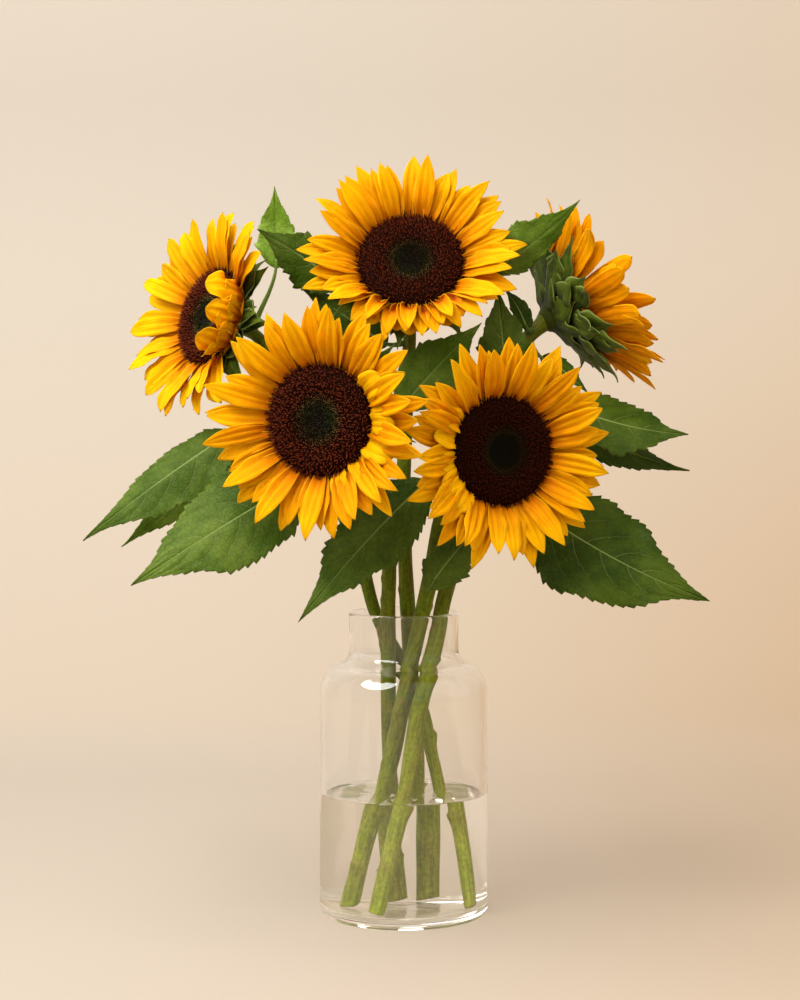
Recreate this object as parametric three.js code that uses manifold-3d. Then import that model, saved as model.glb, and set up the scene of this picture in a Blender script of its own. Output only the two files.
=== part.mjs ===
// Five cut sunflowers with their leaves, standing in a clear glass bottle vase of water.
// Millimetres, +Z up. The origin is the centre of the vase's underside; the front faces -Y.
import * as THREE from 'three';
import { mergeVertices } from 'three/addons/utils/BufferGeometryUtils.js';
import Module from 'manifold-3d';

const wasm = await Module();
wasm.setup();

// Driving dimensions
const GAP = 0.3; // clearance between neighbouring pieces
const VASE_HEIGHT = 218;
const VASE_RADIUS = 60;
const VASE_FOOT_RADIUS = 52;
const NECK_RADIUS = 39;
const NECK_LENGTH = 27;
const SHOULDER_RADIUS = 22; // of the round from the body up to the neck
const SHOULDER_SWEEP = 70; // degrees of it, before the hollow under the neck
const SHOULDER_FOOT = 161; // height where the round starts
const NECK_WALL = 2.5;
const BODY_WALL = 4;
const VASE_FLOOR = 8; // thickness of the glass under the water
const FLOOR_CORNER = 6;
const WATER_LEVEL = 88;
const VASE_SEGMENTS = 32;

const HEAD_SEGMENTS = 18;
const PETALS_IN_ROW = 13;
const DISC_RADIUS = 37.5; // of the whole head's centre, over the petal roots
const DISC_CORE_RADIUS = 32.7; // the part of the disc that sits inside the petal ring
const RING_INNER = 34; // the ring of flower base that the petals grow from
const RING_OUTER = 40.5;
const RING_TOP = -0.4;
const RING_BOTTOM = -4;
const CALYX_DEPTH = 23.7; // from the disc plane back to the stem
const PETAL_THICKNESS = 0.8;
const BRACT_THICKNESS = 0.9;
const LEAF_THICKNESS = 0.8;
const TOOTH_SHARE = 1.02; // reach of a leaf's tooth, as a share of the outline's half width
const NOTCH_SHARE = 0.93; // the same for the notch between two teeth
const STALK_RADIUS = 2.2; // at the stem
const STALK_TAPER = 1; // how much thinner it is at the blade
const STEM_TAPER = 0.18; // share of the radius that a stem loses up to its flower
const STEM_SIDES = 7;
const STEM_STEPS = 16;

const COLOURS = {
  glass: 0xdfe9e4,
  water: 0xe4ece2,
  stem: 0x6f7f2c,
  calyx: 0x3c5222,
  petal: 0xf0a010,
  disc: 0x2e1309,
  leaf: 0x4a6a28,
};

// The five flowers: centre of the disc, the way it faces, and how its petals stand.
// cone is the petals' mean forward lean in degrees; curled lists the clock angles, from
// the top and clockwise as the flower is faced, of short petals that fold over the disc.
const FLOWERS = [
  {
    name: 'left', centre: [-138, 20, 427], facing: [-0.766, -0.588, 0.26], size: 0.94,
    cone: 22, petal: 48, curled: [74, 97, 122], seed: 11,
    stemRadius: 5.6,
    stem: [[41, -15, 8.4], [26, 5, 88], [20, 10, 115], [13, 14, 146], [-2, 14, 180],
      [-19.8, 16, 214], [-30, 15, 250], [-45, 14, 290], [-62, 15, 325], [-82, 22, 362],
      [-97, 38, 398], [-106, 43, 413]],
    scars: [0.3, 0.5],
  },
  {
    name: 'top', centre: [5, -5, 465], facing: [0, -0.877, 0.48], size: 1,
    cone: 30, petal: 47, curled: [], seed: 23,
    stemRadius: 6.2,
    stem: [[10, 42, 8.4], [10.5, 36, 88], [8, 31, 147], [4.5, 28, 185], [3.1, 25, 213],
      [1, 20, 256], [0, 18, 300], [1, 22, 345], [3, 31, 385], [4.5, 38, 418], [5, 33, 443]],
    scars: [0.22, 0.56],
  },
  {
    name: 'right', centre: [119.6, 25, 434], facing: [0.854, 0.208, 0.478], size: 1,
    cone: 42, petal: 50, curled: [], seed: 37,
    stemRadius: 6.6,
    stem: [[-18, -40, 8.4], [-0.5, -30, 88], [5.5, -27, 122], [10, -25, 147], [16, -21, 173],
      [24, -10, 205], [29, 1, 228], [40, 5, 264], [54.6, 8, 299], [70, 11, 340],
      [79, 13, 380], [86, 15.5, 408]],
    scars: [0.34, 0.62],
  },
  {
    name: 'lower_left', centre: [-56.4, -85, 356], facing: [-0.375, -0.927, 0.02], size: 1.02,
    cone: 25, petal: 47, curled: [70, 92, 113, 135, 158], seed: 41,
    stemRadius: 6.2,
    stem: [[-3, 40, 8.4], [-9, 20, 88], [-10.5, 10, 122], [-11, 3, 155], [-11, -1, 189],
      [-11, -3, 216], [-10.4, -5, 247], [-12, -9, 275], [-20, -18, 310], [-32, -36, 340],
      [-40, -48, 351]],
    scars: [0.42, 0.6],
  },
  {
    name: 'lower_right', centre: [67.3, -62, 334.4], facing: [0.42, -0.906, 0], size: 1,
    cone: 25, petal: 47, curled: [238, 262, 286], seed: 61,
    stemRadius: 6.6,
    stem: [[-30, -2, 8.4], [-15, -8, 88], [-7, -10, 122], [-0.5, -12, 155], [6.6, -13, 189],
      [12.9, -14, 217], [19, -16, 245], [26, -18, 284], [37, -14, 314], [48, -22, 330]],
    scars: [0.3, 0.66],
  },
];

// The leaves: which stem each one grows on and how far up (0 to 1), where its blade
// starts and ends, the side it turns its upper face to, its width, the sag of its
// midrib and the fold of its two halves in degrees (negative hangs down).
const LEAVES = [
  { name: 'far_left', stem: 'left', at: 0.66, base: [-119, 0, 347], tip: [-225, -22, 270],
    face: [-0.25, -0.85, 0.45], width: 54, sag: [0, 0, 5], fold: -14, teeth: 7 },
  { name: 'behind_left', stem: 'left', at: 0.6, base: [-113, 17, 339], tip: [-201, 10, 263],
    face: [0.2, -0.75, -0.6], width: 44, sag: [0, 8, 4], fold: 12, teeth: 5 },
  { name: 'front_left', stem: 'lower_left', at: 0.74, base: [-72, -35, 313], tip: [-187.5, -62, 242],
    face: [-0.1, -0.92, 0.38], width: 68, sag: [0, 0, 3], fold: -8, teeth: 7 },
  { name: 'front_centre', stem: 'lower_right', at: 0.76, base: [16, -25, 312], tip: [-72, -75, 218],
    face: [0.15, -0.9, 0.35], width: 50, sag: [0, 0, 8], fold: -8, teeth: 7 },
  { name: 'front_small', stem: 'lower_right', at: 0.57, base: [17, -25, 236], tip: [57, -36, 284],
    face: [0.5, -0.85, -0.1], width: 34, sag: [-3, 0, 3], fold: 8, teeth: 5 },
  { name: 'front_right', stem: 'right', at: 0.72, base: [81, -14, 300], tip: [213, -38, 229],
    face: [0.1, -0.92, 0.38], width: 78, sag: [0, 0, -13], fold: -8, teeth: 8 },
  { name: 'right_upper', stem: 'right', at: 0.8, base: [116, 2, 364], tip: [201, -5, 344],
    face: [0.05, -0.8, 0.6], width: 48, sag: [0, 0, -8], fold: -10, teeth: 6 },
  { name: 'right_lower', stem: 'right', at: 0.75, base: [118, 20, 350], tip: [204, 14, 317],
    face: [0.1, -0.6, -0.75], width: 34, sag: [0, 0, -6], fold: 10, teeth: 5 },
  { name: 'top_right', stem: 'top', at: 0.88, base: [60, 16, 457], tip: [122, -31, 507],
    face: [0.35, -0.9, 0.1], width: 37, sag: [3, -10, -5], fold: -10, teeth: 6 },
  { name: 'top_left', stem: 'left', at: 0.93, base: [-92, 52, 462], tip: [-93, 46, 521],
    face: [0.1, -0.98, 0.1], width: 27, sag: [0, 4, 0], fold: 8, teeth: 4 },
  { name: 'inner_left', stem: 'top', at: 0.84, base: [-42, 26, 449], tip: [-104, 14, 489],
    face: [-0.2, -0.9, 0.3], width: 38, sag: [0, 0, 2], fold: -8, teeth: 5 },
  { name: 'centre', stem: 'top', at: 0.7, base: [-2, -6, 362], tip: [54, -30, 422],
    face: [0.3, -0.95, 0.1], width: 42, sag: [-2, 0, 2], fold: -8, teeth: 5 },
  { name: 'inner_right', stem: 'right', at: 0.84, base: [73, -8, 376], tip: [66, -7, 447],
    face: [0.15, -0.98, 0], width: 36, sag: [0, -3, 0], fold: 6, teeth: 5 },
  { name: 'behind_centre', stem: 'top', at: 0.79, base: [-12, 27, 406], tip: [-73, 32, 447],
    face: [-0.1, -0.95, 0.25], width: 34, sag: [0, 0, 3], fold: -8, teeth: 4 },
  { name: 'neck_upper', stem: 'right', at: 0.96, base: [88, 8, 417], tip: [71, 9, 447],
    face: [0.5, -0.85, 0.1], width: 15, sag: [3, 0, 3], fold: 8, teeth: 3 },
  { name: 'neck_lower', stem: 'right', at: 0.93, base: [97, 8, 398], tip: [132, 4, 371],
    face: [0.3, -0.9, 0.3], width: 15, sag: [0, 0, 7], fold: 10, teeth: 3 },
];

// A repeatable random draw between 0 and 1.
function makeRandom(seed) {
  let state = seed;
  return () => {
    state = (Math.imul(state, 1664525) + 1013904223) >>> 0;
    return state / 4294967296;
  };
}

// A closed solid from points and triangles.
function solidFrom(points, faces) {
  const vertProperties = new Float32Array(points.flatMap((p) => [p.x, p.y, p.z]));
  return new wasm.Manifold(new wasm.Mesh({
    numProp: 3, vertProperties, triVerts: new Uint32Array(faces.flat()),
  }));
}

function solidOf(geometry) {
  const bare = geometry.clone();
  bare.deleteAttribute('normal');
  bare.deleteAttribute('uv');
  const merged = mergeVertices(bare, 1e-4);
  return new wasm.Manifold(new wasm.Mesh({
    numProp: 3,
    vertProperties: new Float32Array(merged.attributes.position.array),
    triVerts: new Uint32Array(merged.index.array),
  }));
}

function geometryOf(solid) {
  const mesh = solid.getMesh();
  const geometry = new THREE.BufferGeometry();
  geometry.setAttribute('position', new THREE.BufferAttribute(mesh.vertProperties, 3));
  geometry.setIndex(new THREE.BufferAttribute(mesh.triVerts, 1));
  geometry.computeVertexNormals();
  return geometry;
}

function joinAll(solids) {
  return wasm.Manifold.union(solids);
}

// Skins equal rings into a closed body. Each ring runs counter-clockwise about the
// direction of travel; the last end closes on a point where one is given.
function loft(rings, tip) {
  const sides = rings[0].length;
  const points = rings.flat();
  const faces = [];
  for (let i = 0; i + 1 < rings.length; i += 1) {
    for (let j = 0; j < sides; j += 1) {
      const k = (j + 1) % sides;
      const here = i * sides;
      const next = here + sides;
      faces.push([here + j, here + k, next + k], [here + j, next + k, next + j]);
    }
  }
  for (let j = 1; j + 1 < sides; j += 1) {
    faces.push([0, j + 1, j]);
  }
  const last = (rings.length - 1) * sides;
  if (tip) {
    points.push(tip);
    for (let j = 0; j < sides; j += 1) {
      faces.push([last + j, last + ((j + 1) % sides), points.length - 1]);
    }
  } else {
    for (let j = 1; j + 1 < sides; j += 1) {
      faces.push([last, last + j, last + j + 1]);
    }
  }
  return solidFrom(points, faces);
}

// Turns a profile of [radius, height] points that starts and ends on the axis, or closes
// on itself, about Z.
function lathe(profile, segments) {
  const points = profile.map(([radius, height]) => new THREE.Vector2(radius, height));
  const geometry = new THREE.LatheGeometry(points, segments);
  geometry.rotateX(Math.PI / 2);
  return geometry;
}

// A tube of flat sides along a curve. ends gives the axis that its foot or head is cut
// square to, where that isn't the curve's own direction.
function tube(curve, steps, sides, radiusAt, ends = {}) {
  const rings = [];
  let side = new THREE.Vector3(1, 0, 0);
  for (let i = 0; i <= steps; i += 1) {
    const t = i / steps;
    const centre = curve.getPoint(t);
    const along = (i === 0 && ends.foot) || (i === steps && ends.head)
      || curve.getTangent(t).normalize();
    side = side.addScaledVector(along, -side.dot(along)).normalize();
    const across = along.clone().cross(side);
    const ring = [];
    for (let j = 0; j < sides; j += 1) {
      const angle = (2 * Math.PI * j) / sides;
      ring.push(centre.clone()
        .addScaledVector(side, radiusAt(t) * Math.cos(angle))
        .addScaledVector(across, radiusAt(t) * Math.sin(angle)));
    }
    rings.push(ring);
  }
  return loft(rings);
}

// Vase: a bottle with a straight neck, a round shoulder and a thick floor. The side is
// drawn once for the outside and once, a wall's thickness in, for the inside.
function vaseSide(inset, neckInset) {
  const side = [];
  const steps = 3;
  const radius = SHOULDER_RADIUS - inset;
  for (let i = 0; i <= steps; i += 1) {
    const angle = THREE.MathUtils.degToRad((SHOULDER_SWEEP * i) / steps);
    side.push([VASE_RADIUS - SHOULDER_RADIUS + radius * Math.cos(angle),
      SHOULDER_FOOT + radius * Math.sin(angle)]);
  }
  const neck = NECK_RADIUS - neckInset;
  const neckFoot = VASE_HEIGHT - NECK_LENGTH - 0.5 * inset;
  const [roundRadius, roundTop] = side[steps];
  side.push([0.3 * roundRadius + 0.7 * neck, 0.65 * roundTop + 0.35 * neckFoot], [neck, neckFoot]);
  return side;
}

function makeVase() {
  const outer = [[0, 0], [VASE_FOOT_RADIUS, 0], [VASE_RADIUS - 3.5, 2.2], [VASE_RADIUS, 8],
    ...vaseSide(0, 0)];
  const rim = [[NECK_RADIUS, VASE_HEIGHT - 1], [NECK_RADIUS - NECK_WALL / 2, VASE_HEIGHT],
    [NECK_RADIUS - NECK_WALL, VASE_HEIGHT - 1]];
  const inner = [[0, VASE_FLOOR], [VASE_RADIUS - BODY_WALL - FLOOR_CORNER, VASE_FLOOR],
    [VASE_RADIUS - BODY_WALL, VASE_FLOOR + FLOOR_CORNER], ...vaseSide(BODY_WALL, NECK_WALL)];
  return lathe([...outer, ...rim, ...inner.reverse()], VASE_SEGMENTS);
}

// Water: fills the vase to its level, with a plain hole round each stem.
function makeWater(stemHoles) {
  const radius = VASE_RADIUS - BODY_WALL - GAP;
  const bottom = VASE_FLOOR + GAP;
  const body = solidOf(lathe([[0, bottom], [radius - FLOOR_CORNER, bottom],
    [radius, bottom + FLOOR_CORNER], [radius, WATER_LEVEL], [0, WATER_LEVEL]], VASE_SEGMENTS));
  return body.subtract(joinAll(stemHoles));
}

// Stem: one tube from the vase's floor to the back of the flower, with leaf scars.
function stemCurve(flower) {
  const facing = new THREE.Vector3(...flower.facing).normalize();
  const end = new THREE.Vector3(...flower.centre)
    .addScaledVector(facing, -(CALYX_DEPTH + GAP) * flower.size);
  const points = flower.stem.map((p) => new THREE.Vector3(...p));
  return new THREE.CatmullRomCurve3([...points, end], false, 'catmullrom', 0.5);
}

function stemRadiusAt(flower, t) {
  return flower.stemRadius * (1 - STEM_TAPER * t);
}

function stemTube(flower, extra) {
  const ends = {
    foot: new THREE.Vector3(0, 0, 1),
    head: new THREE.Vector3(...flower.facing).normalize(),
  };
  const radiusAt = (t) => stemRadiusAt(flower, t) + extra;
  return tube(stemCurve(flower), STEM_STEPS, STEM_SIDES, radiusAt, ends);
}

// The room a stem takes in the water, which runs on past the stem's foot.
function stemHole(flower) {
  const [x, y, z] = flower.stem[0];
  const radius = stemRadiusAt(flower, 0) + GAP;
  const foot = new THREE.LineCurve3(new THREE.Vector3(x, y, z - 2), new THREE.Vector3(x, y, z));
  return stemTube(flower, GAP).add(tube(foot, 1, STEM_SIDES, () => radius));
}

// A swelling on the stem where a lower leaf was stripped off.
function leafScar(flower, t, turn) {
  const curve = stemCurve(flower);
  const along = curve.getTangent(t).normalize();
  const side = new THREE.Vector3(Math.cos(turn), Math.sin(turn), 0);
  side.addScaledVector(along, -side.dot(along)).normalize();
  const across = along.clone().cross(side);
  const radius = stemRadiusAt(flower, t);
  const rings = [];
  for (const [out, half] of [[0.3, 3.4], [0.95, 3], [1.22, 1.6]]) {
    const centre = curve.getPoint(t).addScaledVector(side, radius * out);
    centre.addScaledVector(along, 2.5 * out);
    rings.push([[-1, -1], [1, -1], [1, 1], [-1, 1]].map(([a, b]) => centre.clone()
      .addScaledVector(across, half * a)
      .addScaledVector(along, half * b)));
  }
  return loft(rings);
}

function makeStem(flower) {
  const scars = flower.scars.map((t, i) => leafScar(flower, t, 2.4 * i + flower.seed));
  return joinAll([stemTube(flower, 0), ...scars]);
}

// The axes of a flower head: x to its right as it is faced, y to its top, z to its front.
function headMatrix(flower) {
  const front = new THREE.Vector3(...flower.facing).normalize();
  const top = new THREE.Vector3(0, 0, 1);
  top.addScaledVector(front, -top.dot(front)).normalize();
  const right = top.clone().cross(front);
  const matrix = new THREE.Matrix4().makeBasis(right, top, front);
  matrix.scale(new THREE.Vector3(flower.size, flower.size, flower.size));
  return matrix.setPosition(...flower.centre);
}

// A blade that grows outward from the head: its path bends evenly from one lean to
// another, and widths gives its half widths at even steps before the pointed tip.
function headBlade(blade) {
  const clock = THREE.MathUtils.degToRad(blade.clock);
  const outward = new THREE.Vector3(Math.sin(clock), Math.cos(clock), 0);
  const front = new THREE.Vector3(0, 0, 1);
  const from = THREE.MathUtils.degToRad(blade.from);
  const bend = THREE.MathUtils.degToRad(blade.to - blade.from);
  const roll = THREE.MathUtils.degToRad(blade.roll);
  const pointAt = (t) => {
    const lean = from + bend * t;
    const out = (Math.sin(lean) - Math.sin(from)) / bend;
    const up = (Math.cos(from) - Math.cos(lean)) / bend;
    return outward.clone().multiplyScalar(blade.radius + blade.length * out)
      .addScaledVector(front, blade.height + blade.length * up);
  };
  const rings = blade.widths.map(([t, half]) => {
    const lean = from + bend * t;
    const along = outward.clone().multiplyScalar(Math.cos(lean))
      .addScaledVector(front, Math.sin(lean));
    const level = front.clone().cross(outward);
    const across = level.multiplyScalar(Math.cos(roll))
      .addScaledVector(along.clone().cross(level), Math.sin(roll));
    const normal = along.clone().cross(across);
    const centre = pointAt(t);
    return [[1, 1], [-1, 1], [-1, -1], [1, -1]].map(([a, b]) => centre.clone()
      .addScaledVector(across, a * half * blade.width)
      .addScaledVector(normal, 0.5 * b * blade.thickness));
  });
  return loft(rings, pointAt(1));
}

const PETAL_WIDTHS = [[0, 0.25], [0.36, 0.47], [0.74, 0.43]];
const CURLED_WIDTHS = [[0, 0.3], [0.4, 0.5], [0.8, 0.42]];
const BRACT_WIDTHS = [[0, 0.42], [0.3, 0.5], [0.62, 0.2]];

// The room that the disc takes, with its clearance.
function discRoom() {
  return solidOf(lathe([[0, RING_BOTTOM - 1], [DISC_CORE_RADIUS + GAP, RING_BOTTOM - 1],
    [DISC_CORE_RADIUS + GAP, RING_TOP], [DISC_RADIUS + GAP, RING_TOP],
    [DISC_RADIUS + GAP, 2.4], [DISC_RADIUS - 2, 6], [DISC_CORE_RADIUS, 9], [0, 9]], HEAD_SEGMENTS));
}

// Petals: a ring of flower base with a front row, a back row and the curled ones.
function makePetals(flower) {
  const random = makeRandom(flower.seed);
  const ring = lathe([[RING_INNER, RING_BOTTOM], [RING_OUTER, RING_BOTTOM],
    [RING_OUTER, RING_TOP], [RING_INNER, RING_TOP], [RING_INNER, RING_BOTTOM]], PETALS_IN_ROW);
  const solids = [solidOf(ring)];
  const rows = [
    { lean: 8, height: -1.7, start: 0.5 },
    { lean: -8, height: -2.9, start: 1 },
  ];
  for (const row of rows) {
    for (let i = 0; i < PETALS_IN_ROW; i += 1) {
      const clock = (360 / PETALS_IN_ROW) * (row.start + i + 0.3 * (random() - 0.5));
      const lean = flower.cone + row.lean + 10 * (random() - 0.5);
      solids.push(headBlade({
        clock, radius: 36.8, height: row.height, from: lean + 14, to: lean - 20,
        length: flower.petal * (0.9 + 0.16 * random()), width: 13.5 + 2.5 * random(),
        roll: 20 * (random() - 0.5), thickness: PETAL_THICKNESS, widths: PETAL_WIDTHS,
      }));
    }
  }
  for (const clock of flower.curled) {
    solids.push(headBlade({
      clock, radius: 38.4, height: -2.2, from: 52, to: 118,
      length: 26 + 6 * random(), width: 14, roll: 16 * (random() - 0.5),
      thickness: PETAL_THICKNESS, widths: CURLED_WIDTHS,
    }));
  }
  return joinAll(solids).subtract(discRoom());
}

// Disc: a low dome over the petal roots, its florets raised in turn ring by ring.
function makeDisc() {
  const relief = 0.45;
  const outer = [[DISC_RADIUS, 1.6], [34.5, 4.8], [29, 6.4], [22, 6.4], [15, 5.2], [8, 4.8]];
  const profile = [[0, RING_BOTTOM], [DISC_CORE_RADIUS, RING_BOTTOM], [DISC_CORE_RADIUS, -0.1],
    [DISC_RADIUS - 0.6, -0.1], ...outer, [0, 4.5]];
  const geometry = lathe(profile, HEAD_SEGMENTS);
  const position = geometry.attributes.position;
  const firstRaised = profile.indexOf(outer[0]);
  for (let i = 0; i < position.count; i += 1) {
    const ring = (i % profile.length) - firstRaised;
    const column = Math.floor(i / profile.length) % HEAD_SEGMENTS;
    if (ring >= 0 && ring < outer.length) {
      position.setZ(i, position.getZ(i) + ((ring + column) % 2 ? relief : -relief));
    }
  }
  return solidOf(geometry);
}

// Calyx: the green bowl at the back of the head with two rows of pointed bracts.
function makeBracts(flower) {
  const random = makeRandom(flower.seed + 100);
  const bowl = lathe([[0, -CALYX_DEPTH], [7.5, -CALYX_DEPTH], [16, -16.5], [38.5, -7.5],
    [38.5, RING_BOTTOM - GAP], [0, RING_BOTTOM - GAP]], 12);
  const solids = [solidOf(bowl)];
  const rows = [
    { count: 8, radius: 32.5, height: -7.8, lean: -22, length: 37, start: 6 },
    { count: 5, radius: 24, height: -11.5, lean: -30, length: 35, start: 30 },
  ];
  for (const row of rows) {
    for (let i = 0; i < row.count; i += 1) {
      const clock = row.start + (360 / row.count) * (i + 0.3 * (random() - 0.5));
      const lean = flower.cone + row.lean + 8 * (random() - 0.5);
      solids.push(headBlade({
        clock, radius: row.radius, height: row.height, from: lean + 6, to: lean - 40,
        length: row.length * (0.9 + 0.2 * random()), width: 15 + 2 * random(),
        roll: 10 * (random() - 0.5), thickness: BRACT_THICKNESS, widths: BRACT_WIDTHS,
      }));
    }
  }
  return joinAll(solids);
}

// Leaf outline: half width at t along the midrib, as a share of the full width.
function leafHalfWidth(t) {
  return 0.5 * Math.sin(Math.PI * t ** 0.7) ** 0.9 * (1.05 - 0.3 * t * t);
}

// Leaf blade: two toothed halves that fold and wave along the midrib.
function leafBlade(leaf, midrib) {
  const face = new THREE.Vector3(...leaf.face).normalize();
  const fold = THREE.MathUtils.degToRad(leaf.fold);
  const tipHalfWidth = 0.5;
  const frameAt = (t) => {
    const along = midrib.getTangent(t).normalize();
    const normal = face.clone().addScaledVector(along, -face.dot(along)).normalize();
    const across = normal.clone().cross(along);
    return { centre: midrib.getPoint(t), normal, across };
  };
  const edgePoint = (t, side, share) => {
    const { centre, normal, across } = frameAt(t);
    const half = Math.max(tipHalfWidth, leafHalfWidth(t) * leaf.width * share);
    const wave = 0.05 * half * Math.sin(9 * t + side);
    return {
      place: centre.addScaledVector(across, side * half * Math.cos(fold))
        .addScaledVector(normal, half * Math.sin(fold) + wave),
      normal,
    };
  };
  const columns = [];
  for (let i = 0; i <= leaf.teeth; i += 1) {
    const t = i / leaf.teeth;
    const { centre, normal } = frameAt(t);
    columns.push({ middle: { place: centre, normal }, edges: [] });
    for (const side of [1, -1]) {
      const notch = edgePoint(t, side, NOTCH_SHARE);
      const tooth = i < leaf.teeth ? edgePoint(t + 0.6 / leaf.teeth, side, TOOTH_SHARE) : null;
      columns[i].edges.push({ notch, tooth });
    }
  }
  const points = [];
  const faces = [];
  const addPair = ({ place, normal }) => {
    points.push(place.clone().addScaledVector(normal, LEAF_THICKNESS / 2));
    points.push(place.clone().addScaledVector(normal, -LEAF_THICKNESS / 2));
    return points.length - 2;
  };
  const addFace = (a, b, c, flip) => {
    const [p, q] = flip ? [c, b] : [b, c];
    faces.push([a, p, q], [a + 1, q + 1, p + 1]);
  };
  const addRim = (a, b, flip) => {
    const [p, q] = flip ? [b, a] : [a, b];
    faces.push([p, q + 1, q], [p, p + 1, q + 1]);
  };
  for (const column of columns) {
    column.at = addPair(column.middle);
    for (const edge of column.edges) {
      edge.notchAt = addPair(edge.notch);
      edge.toothAt = edge.tooth ? addPair(edge.tooth) : null;
    }
  }
  for (let i = 0; i < leaf.teeth; i += 1) {
    const here = columns[i];
    const next = columns[i + 1];
    for (const [k, flip] of [[0, false], [1, true]]) {
      const notch = here.edges[k].notchAt;
      const tooth = here.edges[k].toothAt;
      const after = next.edges[k].notchAt;
      addFace(here.at, tooth, notch, flip);
      addFace(here.at, next.at, tooth, flip);
      addFace(next.at, after, tooth, flip);
      addRim(tooth, notch, flip);
      addRim(after, tooth, flip);
    }
  }
  const first = columns[0];
  const last = columns[leaf.teeth];
  for (const [k, flip] of [[0, false], [1, true]]) {
    addRim(first.edges[k].notchAt, first.at, flip);
    addRim(last.at, last.edges[k].notchAt, flip);
  }
  return solidFrom(points, faces);
}

// Leaf: the blade with its stalk, whose foot is cut to the side of the stem.
function makeLeaf(leaf) {
  const flower = FLOWERS.find(({ name }) => name === leaf.stem);
  const base = new THREE.Vector3(...leaf.base);
  const tip = new THREE.Vector3(...leaf.tip);
  const control = base.clone().lerp(tip, 0.5).add(new THREE.Vector3(...leaf.sag));
  const midrib = new THREE.QuadraticBezierCurve3(base, control, tip);
  const foot = stemCurve(flower).getPoint(leaf.at);
  const reach = base.distanceTo(foot);
  const heading = midrib.getTangent(0).normalize();
  const rise = stemCurve(flower).getTangent(leaf.at).normalize();
  const stalk = new THREE.CubicBezierCurve3(
    foot,
    foot.clone().lerp(base, 0.3).addScaledVector(rise, 0.1 * reach),
    base.clone().addScaledVector(heading, -0.3 * reach),
    midrib.getPoint(0.12),
  );
  const stalkTube = tube(stalk, 3, 4, (t) => STALK_RADIUS - STALK_TAPER * t);
  return joinAll([stalkTube, leafBlade(leaf, midrib)]).subtract(stemTube(flower, GAP + 0.1));
}

function material(colour, roughness, extra = {}) {
  return new THREE.MeshStandardMaterial({ color: colour, roughness, metalness: 0, ...extra });
}

function addMesh(group, name, geometry, look) {
  const mesh = new THREE.Mesh(geometry, look);
  mesh.name = name;
  group.add(mesh);
}

const bouquet = new THREE.Group();
const clear = { transparent: true, opacity: 0.35 };
addMesh(bouquet, 'vase', makeVase(), material(COLOURS.glass, 0.05, clear));
const water = makeWater(FLOWERS.map(stemHole));
addMesh(bouquet, 'water', geometryOf(water), material(COLOURS.water, 0.02, clear));

for (const flower of FLOWERS) {
  addMesh(bouquet, `stem_${flower.name}`, geometryOf(makeStem(flower)), material(COLOURS.stem, 0.55));
  const head = new THREE.Group();
  head.applyMatrix4(headMatrix(flower));
  addMesh(head, `bracts_${flower.name}`, geometryOf(makeBracts(flower)), material(COLOURS.calyx, 0.7));
  addMesh(head, `disc_${flower.name}`, geometryOf(makeDisc()), material(COLOURS.disc, 0.9));
  addMesh(head, `petals_${flower.name}`, geometryOf(makePetals(flower)), material(COLOURS.petal, 0.6));
  bouquet.add(head);
}
for (const leaf of LEAVES) {
  addMesh(bouquet, `leaf_${leaf.name}`, geometryOf(makeLeaf(leaf)), material(COLOURS.leaf, 0.6));
}

export default bouquet;
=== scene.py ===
import math
from types import SimpleNamespace

import bpy
import numpy as np
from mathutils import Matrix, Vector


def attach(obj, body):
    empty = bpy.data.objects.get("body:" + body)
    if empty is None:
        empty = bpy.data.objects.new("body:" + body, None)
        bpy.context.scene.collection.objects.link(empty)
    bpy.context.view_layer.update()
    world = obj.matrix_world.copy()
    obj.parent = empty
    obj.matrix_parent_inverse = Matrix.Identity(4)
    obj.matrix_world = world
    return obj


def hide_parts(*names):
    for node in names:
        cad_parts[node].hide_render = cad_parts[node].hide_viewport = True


# Five cut sunflowers with their leaves in a clear glass bottle vase of water.
# Shapes are worked out in millimetres, +Z up, and turned into metres as meshes are made.
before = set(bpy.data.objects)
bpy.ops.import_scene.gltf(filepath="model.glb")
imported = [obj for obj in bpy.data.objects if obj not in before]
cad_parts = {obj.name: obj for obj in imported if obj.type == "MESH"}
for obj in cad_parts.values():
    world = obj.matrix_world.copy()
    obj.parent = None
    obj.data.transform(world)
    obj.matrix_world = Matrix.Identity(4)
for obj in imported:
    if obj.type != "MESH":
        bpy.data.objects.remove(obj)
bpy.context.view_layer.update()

MM = 0.001
UP = np.array([0.0, 0.0, 1.0])
ANY_ANGLE = 6.28  # times a draw between 0 and 1, an angle all round
GOLDEN_ANGLE = math.pi * (3 - math.sqrt(5))

# Vase and water
VASE_HEIGHT = 218
VASE_RADIUS = 60
VASE_FOOT_RADIUS = 52
HEEL_RADIUS = 8
NECK_RADIUS = 39
NECK_LENGTH = 27
SHOULDER_RADIUS = 22
SHOULDER_SWEEP = 70
SHOULDER_FOOT = 161
NECK_WALL = 2.5
BODY_WALL = 4
VASE_FLOOR = 8
FLOOR_CORNER = 6
FLOOR_DIP = 1.2
FLOOR_RIPPLE = 0.35
RIPPLE_REACH = 45
WATER_LEVEL = 88
WATER_SWELL = 0.26
MENISCUS = 1.0
MENISCUS_REACH = 1.4
STEM_MENISCUS = 1.1
STEM_MENISCUS_REACH = 1.6
WATER_OVERLAP = 0.3  # how far the water reaches into the glass, so that no air lies between
LATHE_SEGMENTS = 144

# Stems: points round and along, and how they narrow
STEM_RINGS, STEM_SIDES = 280, 22
STEM_SAMPLES = 3000
STEM_TAPER = 0.18
SMALL_MARKS = 9

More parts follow.
